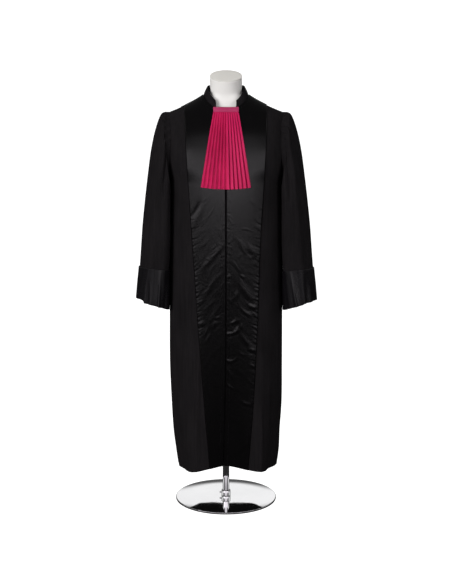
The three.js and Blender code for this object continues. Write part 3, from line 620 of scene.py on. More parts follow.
THREAD = cloth_material("black_thread", (0.010, 0.010, 0.011), (0.020, 0.020, 0.022), 0.6,
                        [(0.0004, 30, 0.5)], (1, 1, 1), 0.05, 0.35)


def finish_piece(piece, slot, *nodes):
    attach(piece, "root")
    if nodes:
        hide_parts(*nodes)
    return piece


# Body panels

LOWER_STEPS, UPPER_STEPS = 240, 84
FRONT_COLUMNS, BACK_COLUMNS = (14, 72), (40, 34)
HEM_EXTRA, HEM_TURN = 0.8, 22


def hem_thickness(points):
    """Cloth is double where the hem is turned up."""
    above = np.cumsum(np.linalg.norm(np.diff(points, axis=0, prepend=points[:1]), axis=-1), axis=0)
    return WOOL + HEM_EXTRA * (1 - smooth((above - HEM_TURN) / 3))


def both_halves(half):
    """The points and normals of a panel that runs across the centre of the back."""
    return [np.concatenate([right, left[:, -2::-1]], 1) for right, left in zip(half(-1), half(1))]


def build_fronts():
    made = {}
    for name, side in SIDES.items():
        inner, band, outer = front_edges(side, LOWER_STEPS, UPPER_STEPS)
        places = np.concatenate([spread(inner, band, FRONT_COLUMNS[0]),
                                 spread(band, outer, FRONT_COLUMNS[1], last=True)], 1)
        degrees, level = places[..., 0], places[..., 1]
        points = body_point(degrees, level, side)
        normals = body_normal(degrees, level, side)
        piece = wall(f"wool_front_{name}", points, hem_thickness(points), WOOL_CLOTH, normals)
        made[name] = finish_piece(piece, "wool", f"front_{name}")
    return made


def build_back():
    def half(side):
        low = np.linspace(HEM_LEVEL, ARMPIT_LEVEL, LOWER_STEPS)
        share = np.linspace(0, 1, UPPER_STEPS + 1)[1:]
        outer_angle, outer_level = armhole_place(share, 1)
        outer = np.stack([np.r_[np.full(LOWER_STEPS, 90.0), outer_angle], np.r_[low, outer_level]], -1)
        nape_angle = np.r_[np.full(LOWER_STEPS, 135.0), 135 - 45 * share ** 2]
        nape = np.stack([nape_angle, np.r_[low, lerp(ARMPIT_LEVEL, NECK_SIDE_LEVEL, share)]], -1)
        centre = np.stack([np.full(len(nape), 180.0), np.r_[low, lerp(ARMPIT_LEVEL, NAPE_LEVEL, share)]], -1)
        places = np.concatenate([spread(outer, nape, BACK_COLUMNS[0]),
                                 spread(nape, centre, BACK_COLUMNS[1], last=True)], 1)
        top = places[-1]
        past = top[:, 0] > 90
        top[past, 1] = neckline_level(top[past, 0])
        degrees, level = places[..., 0], places[..., 1]
        return body_point(degrees, level, side), body_normal(degrees, level, side)

    points, normals = both_halves(half)
    piece = wall("wool_back", points, hem_thickness(points), WOOL_CLOTH, normals)
    finish_piece(piece, "wool", "back")


# Satin bands

# Creases, one by one: distance from the centre, level, turn from level, half length, half width, rise, bend.
BAND_CREASES = {
    "right": [
        (104, 1104, -68, 32, 6, -2.2, 0.12), (114, 1050, -60, 26, 7, 0.8, 0.10),
        (40, 949, -54, 54, 7, 0.9, 0.05), (72, 905, -60, 40, 6, 0.7, -0.08),
        (59, 829, -55, 48, 6, 1.0, 0.08), (28, 862, -50, 26, 5, 0.7, -0.10),
        (38, 733, -62, 42, 6, 1.1, 0.05), (86, 698, -34, 13, 5, 1.5, 0.10),
        (45, 691, -49, 19, 5, 1.3, -0.12), (74, 670, -58, 24, 4, 1.0, 0.06),
        (65, 645, -66, 18, 4, 0.9, -0.05), (28, 716, -20, 11, 4, 1.3, 0.15),
        (60, 765, -48, 26, 5, 0.9, -0.06), (90, 776, -40, 16, 5, 1.1, 0.10),
        (30, 600, -58, 26, 6, 0.7, 0.06), (66, 560, -62, 24, 6, 0.5, -0.05),
        (40, 300, -50, 22, 8, 0.5, 0.05), (30, 240, 24, 24, 6, 0.4, 0.05),
    ],
    "left": [
        (75, 812, -54, 44, 8, 2.2, 0.06), (97, 757, -24, 13, 6, 2.6, 0.15),
        (96, 960, -51, 29, 6, 1.3, 0.05), (62, 980, -57, 30, 7, 0.7, -0.06),
        (70, 741, -49, 25, 4, 1.7, 0.08), (57, 873, -37, 9, 4, 1.2, 0.10),
        (40, 905, -55, 24, 5, 0.8, -0.08), (6, 868, 11, 6, 4, 1.4, 0.0), (34, 797, 56, 26, 6, 1.1, 0.06),
        (25, 702, 34, 13, 4, 2.0, 0.10), (36, 690, 50, 14, 5, -1.6, 0.0),
        (11, 657, 8, 12, 4.5, 2.4, 0.12), (33, 668, 34, 13, 4, 1.7, 0.0),
        (72, 634, -54, 38, 5.5, 2.0, 0.10), (94, 599, -30, 13, 5, 2.8, 0.20),
        (59, 587, -38, 10, 4, 1.4, 0.10), (10, 556, -14, 11, 5, 3.0, 0.20),
        (29, 562, 33, 12, 4, 1.6, 0.10), (13, 508, -53, 21, 4, 1.6, 0.05),
        (15, 461, -39, 18, 3.4, 2.2, 0.05), (92, 539, -39, 12, 4, 1.7, 0.10),
        (87, 482, -52, 12, 4, 1.6, 0.10), (76, 401, -22, 20, 5, 2.3, 0.12),
        (50, 520, -45, 22, 6, 0.9, -0.06), (54, 690, -58, 26, 5, 1.1, -0.06),
        (48, 455, -40, 20, 6, 0.8, 0.05), (60, 231, 43, 22, 5, 1.2, 0.05),
        (28, 340, -30, 22, 8, 0.6, 0.05),
    ],
}

# Levels of the puckers pulled by the seam along each band's outer edge, and their depths.
EDGE_PUCKERS = {
    "right": [
        (1068, 0.8), (1037, 0.9), (1000, 0.8), (973, 1.2), (948, 1.0), (913, 0.8), (884, 1.3),
        (864, 0.9), (846, 0.8), (828, 1.3), (805, 1.5), (786, 1.4), (763, 1.7), (738, 1.5), (718, 0.9),
        (700, 1.2), (678, 1.0), (664, 0.9), (649, 0.8), (612, 0.5), (575, 0.4),
    ],
    "left": [
        (1102, 0.9), (1074, 0.6), (1050, 1.0), (1024, 0.9), (1000, 0.9), (969, 0.8), (942, 0.7),
        (915, 0.8), (897, 0.6), (861, 1.5), (835, 1.4), (823, 1.2), (809, 1.0), (788, 1.3), (775, 0.9),
        (730, 0.8), (711, 0.9), (686, 1.2), (667, 1.3), (649, 1.4), (634, 1.2), (616, 1.3), (580, 0.7),
        (556, 1.2), (523, 1.2), (501, 1.4), (478, 1.2), (452, 1.2), (429, 1.0), (414, 1.3), (399, 1.2),
        (377, 1.3), (352, 0.7),
    ],
}
# The same along the opening, where a row of stitches runs beside the edge.
OPENING_PUCKERS = {
    "right": [
        (1120, 0.3), (1052, 0.4), (996, 0.3), (941, 0.4), (880, 0.3), (827, 0.4), (792, 0.3), (741, 0.4),
        (690, 0.4),
    ],
    "left": [
        (1098, 0.4), (1041, 0.5), (988, 0.5), (949, 0.7), (918, 0.5), (884, 0.5), (852, 1.3), (822, 0.8),
        (781, 0.6), (748, 0.7), (722, 0.6), (688, 0.9), (640, 1.1), (606, 0.6), (582, 0.8), (540, 0.8),
        (488, 0.7), (446, 0.6),
    ],
}
STITCH_LINE, STITCH_GROOVE, GROOVE_WIDTH = 12.5, 0.45, 1.3
FINE_CREASES = 190
CREASE_SEED, EDGE_SEED, OPENING_SEED = 3, 11, 31
# How far from the sewn edge a pucker reaches, and its slope.
EDGE_PULL, OPENING_PULL = (15, 0.55), (10, -0.3)
CALM_TOP, CALM_FADE, CALM_HEM_FADE = 1215, 80, 40
CREASE_SHARE, LOW_CREASE_SHARE, FINE_SHARE, PUCKER_SHARE, CREASE_SPREAD = 0.44, 0.40, 0.45, 0.32, 1.35


def warped(x, z, seed):
    """Bends the cloth's coordinates a little, so that no two creases run alike."""
    a = x + 2.6 * np.sin(z / 27 + seed) + 1.2 * np.sin(z / 11 + x / 19)
    b = z + 2.4 * np.sin(x / 15 + seed) + 1.3 * np.sin(x / 8 + z / 23)
    return a, b


def crease(x, z, cx, cz, turn, half_length, half_width_, height, bend):
    """A soft ridge with a shallow trough along its lower side."""
    c, s = math.cos(math.radians(turn)), math.sin(math.radians(turn))
    along = ((x - cx) * c + (z - cz) * s) / half_length
    across = (-(x - cx) * s + (z - cz) * c - bend * half_length * along ** 2) / (half_width_ * CREASE_SPREAD)
    hump = np.exp(-across ** 2) - 0.4 * np.exp(-(across + 1.7) ** 2)
    return height * hump * np.exp(-np.abs(along) ** 2.6)


def crease_field(x, z, name, seed):
    a, b = warped(x, z, seed)
    rise = np.zeros_like(x)
    for row in BAND_CREASES[name]:
        share = lerp(LOW_CREASE_SHARE, CREASE_SHARE, smooth((row[1] - 540) / 120))
        rise += share * crease(a, b, *row)
    random = np.random.default_rng(seed)
    for _ in range(FINE_CREASES):
        cx, cz = random.uniform(0, 125), random.triangular(400, 760, 1180)
        turn = random.normal(-56, 13) if random.random() < 0.85 else random.normal(40, 15)
        length, width = random.uniform(7, 26), random.uniform(2.2, 4.2)
        height, bend = FINE_SHARE * random.uniform(0.06, 0.30), random.uniform(-0.15, 0.15)
        rise += crease(a, b, cx, cz, turn, length, width, height, bend)
    return rise


def pucker_field(away, z, puckers, reach, slope, seed):
    """Short slanting troughs along a sewn edge, away from it by so many millimetres."""
    random = np.random.default_rng(seed)
    rise = np.zeros_like(z)
    for level, depth in puckers:
        lean = slope * random.uniform(0.5, 1.4)
        narrow = random.uniform(2.8, 4.2)
        far = reach * random.uniform(0.7, 1.3)
        at = (z - level - lean * away) / narrow
        trough = np.exp(-at ** 2) - 0.5 * np.exp(-(at - 1.9) ** 2)
        rise -= PUCKER_SHARE * depth * trough * np.exp(-(away / far) ** 2)
    return rise


BAND_LOWER_ROWS, BAND_UPPER_ROWS, BAND_COLUMNS = 520, 120, 84


def build_bands():
    for number, (name, side) in enumerate(SIDES.items()):
        inner, band, _ = front_edges(side, BAND_LOWER_ROWS, BAND_UPPER_ROWS)
        places = spread(inner, band, BAND_COLUMNS, last=True)
        degrees, level = places[..., 0], places[..., 1]
        points = body_point(degrees, level, side)
        normals = body_normal(degrees, level, side)
        x, z = points[..., 0] * side, points[..., 2]
        from_edge = np.linalg.norm(points - points[:, -1:], axis=-1)
        from_centre = np.linalg.norm(points - points[:, :1], axis=-1)
        rise = crease_field(x, z, name, CREASE_SEED + number)
        rise += pucker_field(from_edge, z, EDGE_PUCKERS[name], *EDGE_PULL, EDGE_SEED + number)
        rise += pucker_field(from_centre, z, OPENING_PUCKERS[name], *OPENING_PULL, OPENING_SEED + number)
        rise -= STITCH_GROOVE * np.exp(-((from_centre - STITCH_LINE) / GROOVE_WIDTH) ** 2)
        calm = smooth((CALM_TOP - z) / CALM_FADE) * smooth((z - HEM_LEVEL) / CALM_HEM_FADE + 0.2)
        lowest = np.minimum(BAND_FLOAT, 0.6 * from_edge + 0.2)
        rise = lowest + np.maximum(rise * calm, -lowest + 0.1)
        thickness = np.minimum(SATIN, 0.35 + 0.25 * from_edge)
        lifted = points + normals * (GAP + thickness + rise)[..., None]
        piece = wall(f"satin_band_{name}", lifted, thickness, SATIN_CLOTH, normals)
        finish_piece(piece, "satin", f"band_{name}")
        add_stitches(f"opening_stitches_{name}", *along_edge(lifted, normals, from_centre, STITCH_LINE))


# Stitches: small threads joined into one mesh

STITCH_LENGTH, STITCH_PITCH, STITCH_RADIUS, STITCH_SINK = 2.6, 3.6, 0.28, 0.2


def along_edge(points, normals, away_from, away):
    """The line on a grid that runs at a distance from its edge, with its normals."""
    rows = np.arange(len(points))
    after = np.clip((away_from < away).sum(1), 1, points.shape[1] - 1)
    low, high = away_from[rows, after - 1], away_from[rows, after]
    share = np.clip((away - low) / (high - low), 0, 1)[:, None]
    return lerp(points[rows, after - 1], points[rows, after], share), normals[rows, after]


def add_stitches(name, line, normals):
    run = np.concatenate([[0], np.cumsum(np.linalg.norm(np.diff(line, axis=0), axis=1))])
    centres = np.arange(STITCH_PITCH, run[-1] - STITCH_PITCH, STITCH_PITCH)

    def read(values, at):
        return np.stack([np.interp(at, run, values[:, k]) for k in range(3)], -1)

    middle = read(line, centres)
    along = unit(read(line, centres + 1) - read(line, centres - 1))
    out = unit(read(normals, centres))
    aside = np.cross(along, out)
    half = along * STITCH_LENGTH / 2
    ring = [out * STITCH_RADIUS, aside * STITCH_RADIUS, out * -STITCH_RADIUS, aside * -STITCH_RADIUS]
    sunk = out * STITCH_SINK
    corners = [middle - half - sunk, *[middle + side for side in ring], middle + half - sunk]
    vertices = np.stack(corners, 1).reshape(-1, 3)
    faces = []
    for k in range(4):
        after = (k + 1) % 4
        faces += [(0, 1 + after, 1 + k), (5, 1 + k, 1 + after)]
    base = np.arange(len(centres))[:, None, None] * 6
    triangles = (np.array(faces)[None] + base).reshape(-1, 3)
    groups, _ = facing_out(vertices, [triangles], None)
    finish_piece(make_object(name, vertices, groups, None, THREAD), "satin")


def build_underlap():
    level = np.linspace(HEM_LEVEL, 1440, 200)
    x = np.linspace(-18, 18, 15)
    rows, outs = [], []
    for value in x:
        side = -1 if value < 0 else 1
        degrees = angle_at_x(np.full(level.shape, abs(value)), level, side)
        normals = body_normal(degrees, level, side)
        rows.append(body_point(degrees, level, side) - normals * (WOOL + UNDERLAP_GAP))
        outs.append(normals)
    points = np.stack(rows, 1)
    piece = wall("wool_underlap", points, UNDERLAP_WALL, WOOL_CLOTH, np.stack(outs, 1))
    finish_piece(piece, "wool", "underlap")


# Sleeves and cuffs

def armhole_points(turned, side):
    face = np.where(turned <= 180, -1, 1)
    share = 1 - np.where(turned <= 180, turned, 360 - turned) / 180
    return body_point(*armhole_place(share, face), side)


def armhole_outward(points):
    middle = (SHOULDER_LEVEL + ARMPIT_LEVEL) / 2
    out = points - np.array([0, SLEEVE[0][6], middle])
    out[..., 0] = 0
    return unit(out)


def pleat_push(degrees, along):
    depth = np.interp(along, np.arange(len(PLEAT_DEPTH)), PLEAT_DEPTH)
    push = np.zeros(np.broadcast(degrees, along).shape)
    for angle in PLEAT_ANGLES:
        push -= depth * np.exp(-((degrees - angle) / PLEAT_SPREAD) ** 2)
    return push


# Small gathers at the sleeve head: angle, half width and depth, from the shoulder tip forwards.
GATHERS = {
    -1: [
        (9, 2.4, 2.2), (18, 2.2, 2.8), (30, 2.6, 3.4), (43, 2.2, 3.0), (57, 2.8, 3.6), (71, 2.4, 2.6),
        (86, 3.0, 2.2), (352, 2.4, 2.2), (341, 2.6, 2.8), (328, 2.2, 3.0), (313, 2.6, 3.2),
        (297, 2.8, 2.4), (279, 3.0, 2.0),
    ],
    1: [
        (7, 2.4, 2.2), (16, 2.6, 2.6), (27, 2.2, 3.2), (39, 2.4, 3.6), (51, 2.0, 3.2), (64, 2.4, 3.4),
        (78, 2.6, 3.0), (92, 3.2, 2.2), (354, 2.6, 2.2), (343, 2.2, 2.6), (330, 2.6, 3.0),
        (316, 2.4, 2.8), (300, 2.4, 2.4), (282, 3.2, 2.0),
    ],
}

# Long soft folds down the sleeve: angle at the top and further down, half width, depth, start and end.
SLEEVE_FOLDS = {
    -1: [
        (74, 62, 10, 4.0, 1.5, 10.8), (98, 88, 8, -6.5, 0.6, 5.5), (118, 112, 10, 1.8, 2.5, 11),
        (48, 38, 8, -1.8, 3.5, 11), (86, 82, 7, -1.4, 6.0, 11), (205, 200, 12, 2.8, 3, 11),
        (236, 240, 9, -2.8, 3, 11), (262, 258, 9, 2.6, 2, 11), (300, 306, 10, -2.4, 3, 10),
    ],
    1: [
        (88, 96, 9, -7.5, 1.0, 6.0), (64, 58, 10, 4.0, 1.2, 10.5), (112, 116, 8, 2.0, 1.5, 7.0),
        (44, 34, 7, 1.6, 4.5, 11), (76, 84, 9, -1.6, 6.0, 11), (200, 206, 12, -2.6, 3, 11),
        (233, 226, 9, 2.8, 3, 11), (258, 262, 9, -2.6, 2, 11), (303, 298, 9, 2.4, 3, 10),
    ],
}


GATHER_DEPTH, GATHER_WIDTH = 2.1, 1.35
SLEEVE_COLUMNS_ROUND, CUFF_COLUMNS_ROUND, SLEEVE_FOOT = 252, 240, 10.97


def turned_away(degrees, angle):
    return (degrees - angle + 180) % 360 - 180


def sleeve_detail(degrees, along, side):
    push = np.zeros(np.broadcast(degrees, along).shape)
    head = smooth(along / 0.5) * np.exp(-np.clip(along - 0.6, 0, None))
    for angle, width, depth in GATHERS[side]:
        away = turned_away(degrees, angle) / (GATHER_WIDTH * width)
        push -= GATHER_DEPTH * depth * np.exp(-away ** 2) * head
    for angle, lower, width, depth, start, end in SLEEVE_FOLDS[side]:
        grown = smooth((along - start) / 2.2) * (1 - smooth((along - end) / 2 + 1))
        drift = lerp(angle, lower, along / SLEEVE_END) + 1.5 * np.sin(along * 0.9 + angle)
        push += depth * np.exp(-(turned_away(degrees, drift) / width) ** 2) * grown
    return push


def ring_point(degrees, along, side):
    def read(name):
        return column(SLEEVE, SLEEVE_COLUMNS, name, along)

    angle = np.radians(degrees)
    half_x = (read("outerX") + SLEEVE_SPREAD[side] * along / SLEEVE_END - read("innerX")) / 2
    half_z = (read("outerZ") - read("innerZ")) / 2
    hang = np.clip((along - HANG_START) / (HANG_FULL - HANG_START), 0, 1)
    raised = np.clip((along - LIFT_START) / (LIFT_FULL - LIFT_START), 0, 1)
    lift = SLEEVE_LIFT * raised * np.maximum(np.sin(angle), 0)
    square = read("square") + np.where(np.cos(angle) < 0, SLEEVE_FLATTEN * hang, 0)
    around = rounded_radius(angle, 1, 1, square)
    forward = read("halfDepth") * around * np.sin(angle)
    lean = np.where(forward > 0, SLEEVE_LEAN, SLEEVE_BACK_LEAN) * hang
    offset = np.stack([half_x * around * np.cos(angle) - lean * np.abs(forward), -forward,
                       half_z * around * np.cos(angle) + lift], -1)
    drop = SLEEVE_DROP[side] * along / SLEEVE_END
    middle = np.stack([read("innerX") + half_x, read("centreY"), read("outerZ") - half_z - drop], -1)
    push = pleat_push(degrees, along) + sleeve_detail(degrees, along, side)
    point = middle + offset + unit(offset) * push[..., None]
    point[..., 0] *= side
    return point


def sleeve_points(degrees, along, side):
    degrees, along = np.broadcast_arrays(degrees, along)
    edge = armhole_points(degrees, side)
    start = edge - armhole_outward(edge) * GAP
    share = np.clip(along, 0, 1)
    eased = (share * (2 - share))[..., None]
    rings = ring_point(degrees, np.maximum(along, 1), side)
    near = start + (rings - start) * eased
    gathered = sleeve_detail(degrees, along, side)[..., None] * armhole_outward(edge)
    near = near + np.where(along < 1, 1, 0)[..., None] * gathered * (1 - eased)
    return np.where((along < 1)[..., None], near, rings)


def sleeve_grid(rows, steps, side):
    degrees = np.linspace(0, 360, steps, endpoint=False)[None, :]
    return sleeve_points(degrees, rows[:, None], side), degrees


def tube_outward(points):
    return points - points.mean(1, keepdims=True)


def cuff_sink(rows):
    """How far a sleeve is drawn in under its cuff, which leaves room for the cuff's folds."""
    return CUFF_SINK * smooth((rows - CUFF_START - 0.15) / 1.2)


def build_sleeves():
    for name, side in SIDES.items():
        rows = np.concatenate([np.linspace(0, 1, 24), np.linspace(1, SLEEVE_FOOT, 200)[1:]])
        points, _ = sleeve_grid(rows, SLEEVE_COLUMNS_ROUND, side)
        points = points - unit(tube_outward(points)) * cuff_sink(rows)[:, None, None]
        piece = wall(f"wool_sleeve_{name}", points, WOOL, WOOL_CLOTH, tube_outward(points), closed=True)
        finish_piece(piece, "wool", f"sleeve_{name}")


# Folds of each cuff: angle at the top and at the hem, half width, and rise at the top and at the hem.
CUFF_FOLDS = {
    -1: [
        (104, 102, 5, 0.6, 8.5), (128, 124, 9, -0.3, -6.0), (79, 74, 6, 0.4, 2.8),
        (66, 62, 4, -0.4, -2.6), (56, 52, 5, 0.5, 3.0), (36, 34, 6, -0.5, -3.0), (18, 16, 6, 0.5, 2.2),
        (150, 156, 8, 0.4, 2.0), (205, 210, 8, 0.5, 2.4), (242, 238, 7, -0.5, -3.0),
        (268, 272, 7, 0.6, 2.6), (300, 296, 8, -0.5, -2.4), (330, 332, 8, 0.5, 2.0),
    ],
    1: [
        (110, 93, 5, 0.6, 7.0), (134, 126, 10, -0.3, -6.0), (86, 76, 5, -0.4, -3.0),
        (69, 66, 4, 0.5, 3.2), (57, 55, 4, -0.4, -2.6), (45, 44, 4.5, 0.6, 3.4), (28, 26, 7, -0.5, -2.6),
        (12, 12, 6, 0.4, 1.8), (152, 158, 8, 0.4, 2.0), (200, 196, 8, -0.5, -2.4),
        (238, 242, 7, 0.6, 2.8), (262, 258, 7, -0.6, -3.0), (296, 300, 8, 0.5, 2.4),
    ],
}
CUFF_STEP = {-1: (52, 8.0), 1: (70, 3.0)}
CUFF_HEIGHT, ROLL_EXTRA, ROLL_HEIGHT = 125, 0.9, 3


def build_cuffs():
    for name, side in SIDES.items():
        share = np.linspace(0, 1, 58)
        rows = lerp(CUFF_START, SLEEVE_END, share)
        points, degrees = sleeve_grid(rows, CUFF_COLUMNS_ROUND, side)
        normals = outward_normals(points, tube_outward(points), True)
        down = share[:, None]
        rise = np.zeros(points.shape[:2])
        for top, foot, width, start, end in CUFF_FOLDS[side]:
            away = turned_away(degrees, lerp(top, foot, down))
            rise += lerp(start, end, down ** 0.9) * np.exp(-(away / width) ** 2)
        at, drop = CUFF_STEP[side]
        past = turned_away(degrees, at)
        step = smooth(past / 5 + 0.5) * smooth((150 - past) / 60)
        deepest = -0.8 - 0.9 * cuff_sink(rows)[:, None]
        lift = GAP + CUFF_WALL + CUFF_FLARE * (1 - down) + np.maximum(rise, deepest) + 1.0
        lift = lift + 1.2 * step * np.exp(-(past / 16) ** 2)
        lifted = points + normals * lift[..., None]
        lifted[..., 2] += (0.35 - step) * drop * down ** 2 * (np.abs(past) < 150)
        rolled = (CUFF_WALL + ROLL_EXTRA * np.exp(-down * CUFF_HEIGHT / ROLL_HEIGHT)
                  + ROLL_EXTRA * np.exp(-(1 - down) * CUFF_HEIGHT / ROLL_HEIGHT))
        piece = wall(f"satin_cuff_{name}", lifted, rolled, CUFF_SATIN, tube_outward(points), closed=True)
        finish_piece(piece, "satin", f"cuff_{name}")
        top = np.argmin(np.abs(share * CUFF_HEIGHT - 5))
        line = np.concatenate([lifted[top], lifted[top][:1]])
        around = np.concatenate([normals[top], normals[top][:1]])
        add_stitches(f"cuff_stitches_{name}", line, around)


# Collar

COLLAR_HEIGHT = (25, 36, 33)
COLLAR_LEAN = (31, 25, 14)
COLLAR_FOOT, COLLAR_TOP, COLLAR_CLOSING = 25, 31, 4


def collar_value(values, degrees):
    front, middle, back = values
    forward = np.clip((degrees - COLLAR_FOOT) / (90 - COLLAR_FOOT), 0, 1)
    return lerp(lerp(front, middle, forward), back, np.clip(degrees - 90, 0, None) / 90)


def build_collar():
    angles = np.linspace(COLLAR_FOOT, 180, 110)
    shares = np.linspace(0, 1, 22)

    def half(side):
        degrees = angles[None, :] + (COLLAR_TOP - COLLAR_FOOT) * shares[:, None] * (
            (180 - angles[None, :]) / (180 - COLLAR_FOOT)) ** COLLAR_CLOSING
        foot = body_point(degrees, neckline_level(degrees), side)
        outward = foot - np.array([0, NECK_Y, 0])
        outward[..., 2] = 0
        outward = unit(outward)
        lean = np.radians(collar_value(COLLAR_LEAN, degrees))
        run = GAP + collar_value(COLLAR_HEIGHT, degrees) * shares[:, None]
        curl = 1.2 * np.sin(shares[:, None] * math.pi)
        points = foot - outward * (run * np.sin(lean) - curl)[..., None]
        points[..., 2] += run * np.cos(lean)
        return points, outward

    points, outward = both_halves(half)
    piece = wall("wool_collar", points, COLLAR_WALL, WOOL_CLOTH, outward)
    finish_piece(piece, "wool", "collar")


# Jabot

JABOT_PLEATS, JABOT_TOP, JABOT_BOTTOM, JABOT_HALF_TOP, JABOT_HALF_BOTTOM = 12, 1454, 1189, 43, 88
JABOT_LIFT, JABOT_FOOT_LIFT, JABOT_FOOT_DROP, PLEAT_CREST = 2.0, 7, 6, 11


def pleat_profile(share, down):
    """Pleats: narrow ribs with wide dark valleys on the wearer's right, knife pleats on the left."""
    place = (share + 1) / 2 * JABOT_PLEATS
    phase = place - np.floor(place)
    ribs = 0.55 * np.exp(-((phase - 0.5) / 0.19) ** 2) + 0.12 * np.sin(2 * math.pi * (phase * 2 + 0.2)) ** 2
    lean = phase + 0.10 * np.sin(2 * math.pi * phase)
    knives = 1 - np.exp(-(np.minimum(lean, 1 - lean) / 0.17) ** 2)
    pleats = lerp(ribs, knives, smooth((share + 0.10) / 0.2))
    return pleats * (0.5 + 0.5 * smooth(down * 3)) * smooth(down / 0.05)


def crush_field(x, z, seed):
    random = np.random.default_rng(seed)
    rise = np.zeros_like(x)
    for _ in range(240):
        cx, cz = random.uniform(-90, 6), random.uniform(1195, 1440)
        width, length = random.uniform(2.0, 4.2), random.uniform(5, 14)
        rise += random.uniform(-0.75, 0.75) * np.exp(-((x - cx) / width) ** 2 - ((z - cz) / length) ** 2)
    return rise


def chest_points(x, level, lift):
    side_left = x >= 0
    result = np.zeros((*x.shape, 3))
    normals = np.zeros((*x.shape, 3))
    for side, mask in ((1, side_left), (-1, ~side_left)):
        if not mask.any():
            continue
        degrees = angle_at_x(np.abs(x[mask]), level[mask], side)
        n = body_normal(degrees, level[mask], side)
        result[mask] = body_point(degrees, level[mask], side) + n * lift[mask][:, None]
        normals[mask] = n
    return result, normals


def build_jabot():
    share, down = np.meshgrid(np.linspace(-1, 1, JABOT_PLEATS * 24 + 1), np.linspace(0, 1, 96))
    half = lerp(JABOT_HALF_TOP, JABOT_HALF_BOTTOM, down ** 0.9)
    level = lerp(JABOT_TOP, JABOT_BOTTOM, down) - JABOT_FOOT_DROP * (1 - share ** 2) * down
    x = half * share
    swell = JABOT_FOOT_LIFT * (1 - share ** 2) * down
    rise = PLEAT_CREST * pleat_profile(share, down) + swell + crush_field(x, level, 5) * smooth(down * 4)
    hem = 0.9 * np.exp(-((1 - down) * 268 / 3.2) ** 2)
    points, normals = chest_points(x, level, GAP + SATIN + JABOT_LIFT + np.maximum(rise, 0) + hem)
    piece = wall("silk_jabot_fan", points, SILK * 0.7, SILK_CLOTH, normals)
    finish_piece(piece, "silk", "jabot_fan")


BAND_TOP, BAND_BOTTOM, BAND_HALF = 1465.5, 1448.5, 44
BAND_LIFT, BAND_SWELL, BAND_WALL = 2.2, 4.5, 3.2


def build_jabot_band():
    x, level = np.meshgrid(np.linspace(-BAND_HALF, BAND_HALF, 90), np.linspace(BAND_BOTTOM, BAND_TOP, 20))
    share = (level - BAND_BOTTOM) / (BAND_TOP - BAND_BOTTOM)
    swell = BAND_SWELL * (1 - (2 * share - 1) ** 6 * 0.3)
    lift = GAP + SATIN + BAND_LIFT + swell + 0.25 * np.sin(x / 3.1) * (1 - share)
    points, normals = chest_points(x, level, lift)
    piece = wall("silk_jabot_band", points, BAND_WALL, SILK_BAND, normals)
    finish_piece(piece, "silk", "jabot_band")


# Dress form and stand

FORM_COLUMNS = ("level", "half", "centreY", "front", "back", "square")
FORM = [
    (800, 150, 4, 98, 100, 2.3), (812, 158, 4, 104, 106, 2.3), (880, 165, 5, 108, 116, 2.3),
    (960, 156, 5, 104, 108, 2.3), (1040, 146, 5, 102, 96, 2.3), (1130, 156, 5, 110, 102, 2.3),
    (1220, 170, 5, 120, 114, 2.4), (1310, 182, 5, 117, 118, 2.4), (1380, 188, 5, 102, 114, 2.3),
    (1425, 189, 5, 84, 105, 2.2), (1453, 185, 5, 61, 88, 2), (1464, 168, 5, 56, 84, 2),
    (1478, 139, 5, 50, 78, 2), (1490, 113, 5, 47, 74, 2), (1511, 64, 9, 53, 55, 2),
    (1530, 57.5, 4, 56, 57, 2),
]
NECK_TOP_LEVEL, NECK_TOP_Y, NECK_TOP_RADIUS, NECK_TILT = 1577.2, -6, 57, 20.2
CAP_RADIUS, CAP_THICKNESS = 57.5, 3.5
BASE_RADIUS, BASE_THICKNESS, BASE_RIM = 190, 8, 3
POLE_RADIUS, SOCKET_RADIUS, SOCKET_HEIGHT, BORE_GAP, SCREW_HEIGHT = 12.5, 17, 22, 0.15, 12
FLANGE_RADIUS, FLANGE_THICKNESS, FLANGE_TUBE, FLANGE_TUBE_HEIGHT = 45, 6, 18, 46
FORM_STEPS, FORM_FOOT = 128, 800


def oval_ring(level, half, centre_y, front, back, square, tilt=0.0):
    angle = np.linspace(0, 2 * math.pi, FORM_STEPS, endpoint=False)
    radius = rounded_radius(angle, half, np.where(np.cos(angle) > 0, front, back), square)
    y = -radius * np.cos(angle)
    z = level + y * math.tan(math.radians(tilt))
    return np.stack([radius * np.sin(angle), centre_y + y, z], -1)


def build_form():
    levels = np.concatenate([np.linspace(FORM_FOOT, 812, 6), np.linspace(812, 1425, 90)[1:],
                             np.linspace(1425, 1530, 40)[1:]])
    read = [column(FORM, FORM_COLUMNS, name, levels) for name in FORM_COLUMNS[1:]]
    rings = [oval_ring(levels[k], *(values[k] for values in read)) for k in range(len(levels))]
    foot = NECK_TOP_LEVEL - CAP_THICKNESS / 2 - GAP
    top = oval_ring(foot, NECK_TOP_RADIUS, NECK_TOP_Y, NECK_TOP_RADIUS, NECK_TOP_RADIUS, 2, NECK_TILT)
    last = rings[-1]
    for share in np.linspace(0, 1, 16)[1:]:
        rings.append(last + (top - last) * share)
    finish_piece(capped("form_shell", np.array(rings), FORM_WHITE), "form_white", "form")
    r = CAP_RADIUS
    half = CAP_THICKNESS / 2
    steps = [(-half, r - 0.8), (-half + 0.8, r), (half - 1.2, r),
             (half - 0.35, r - 0.35), (half, r - 1.4), (half, r * 0.5)]
    cap = [oval_ring(NECK_TOP_LEVEL + rise, radius, NECK_TOP_Y, radius, radius, 2, NECK_TILT)
           for rise, radius in steps]
    finish_piece(capped("neck_cap_disc", np.array(cap), CAP_GREY), "cap_grey", "neck_cap")


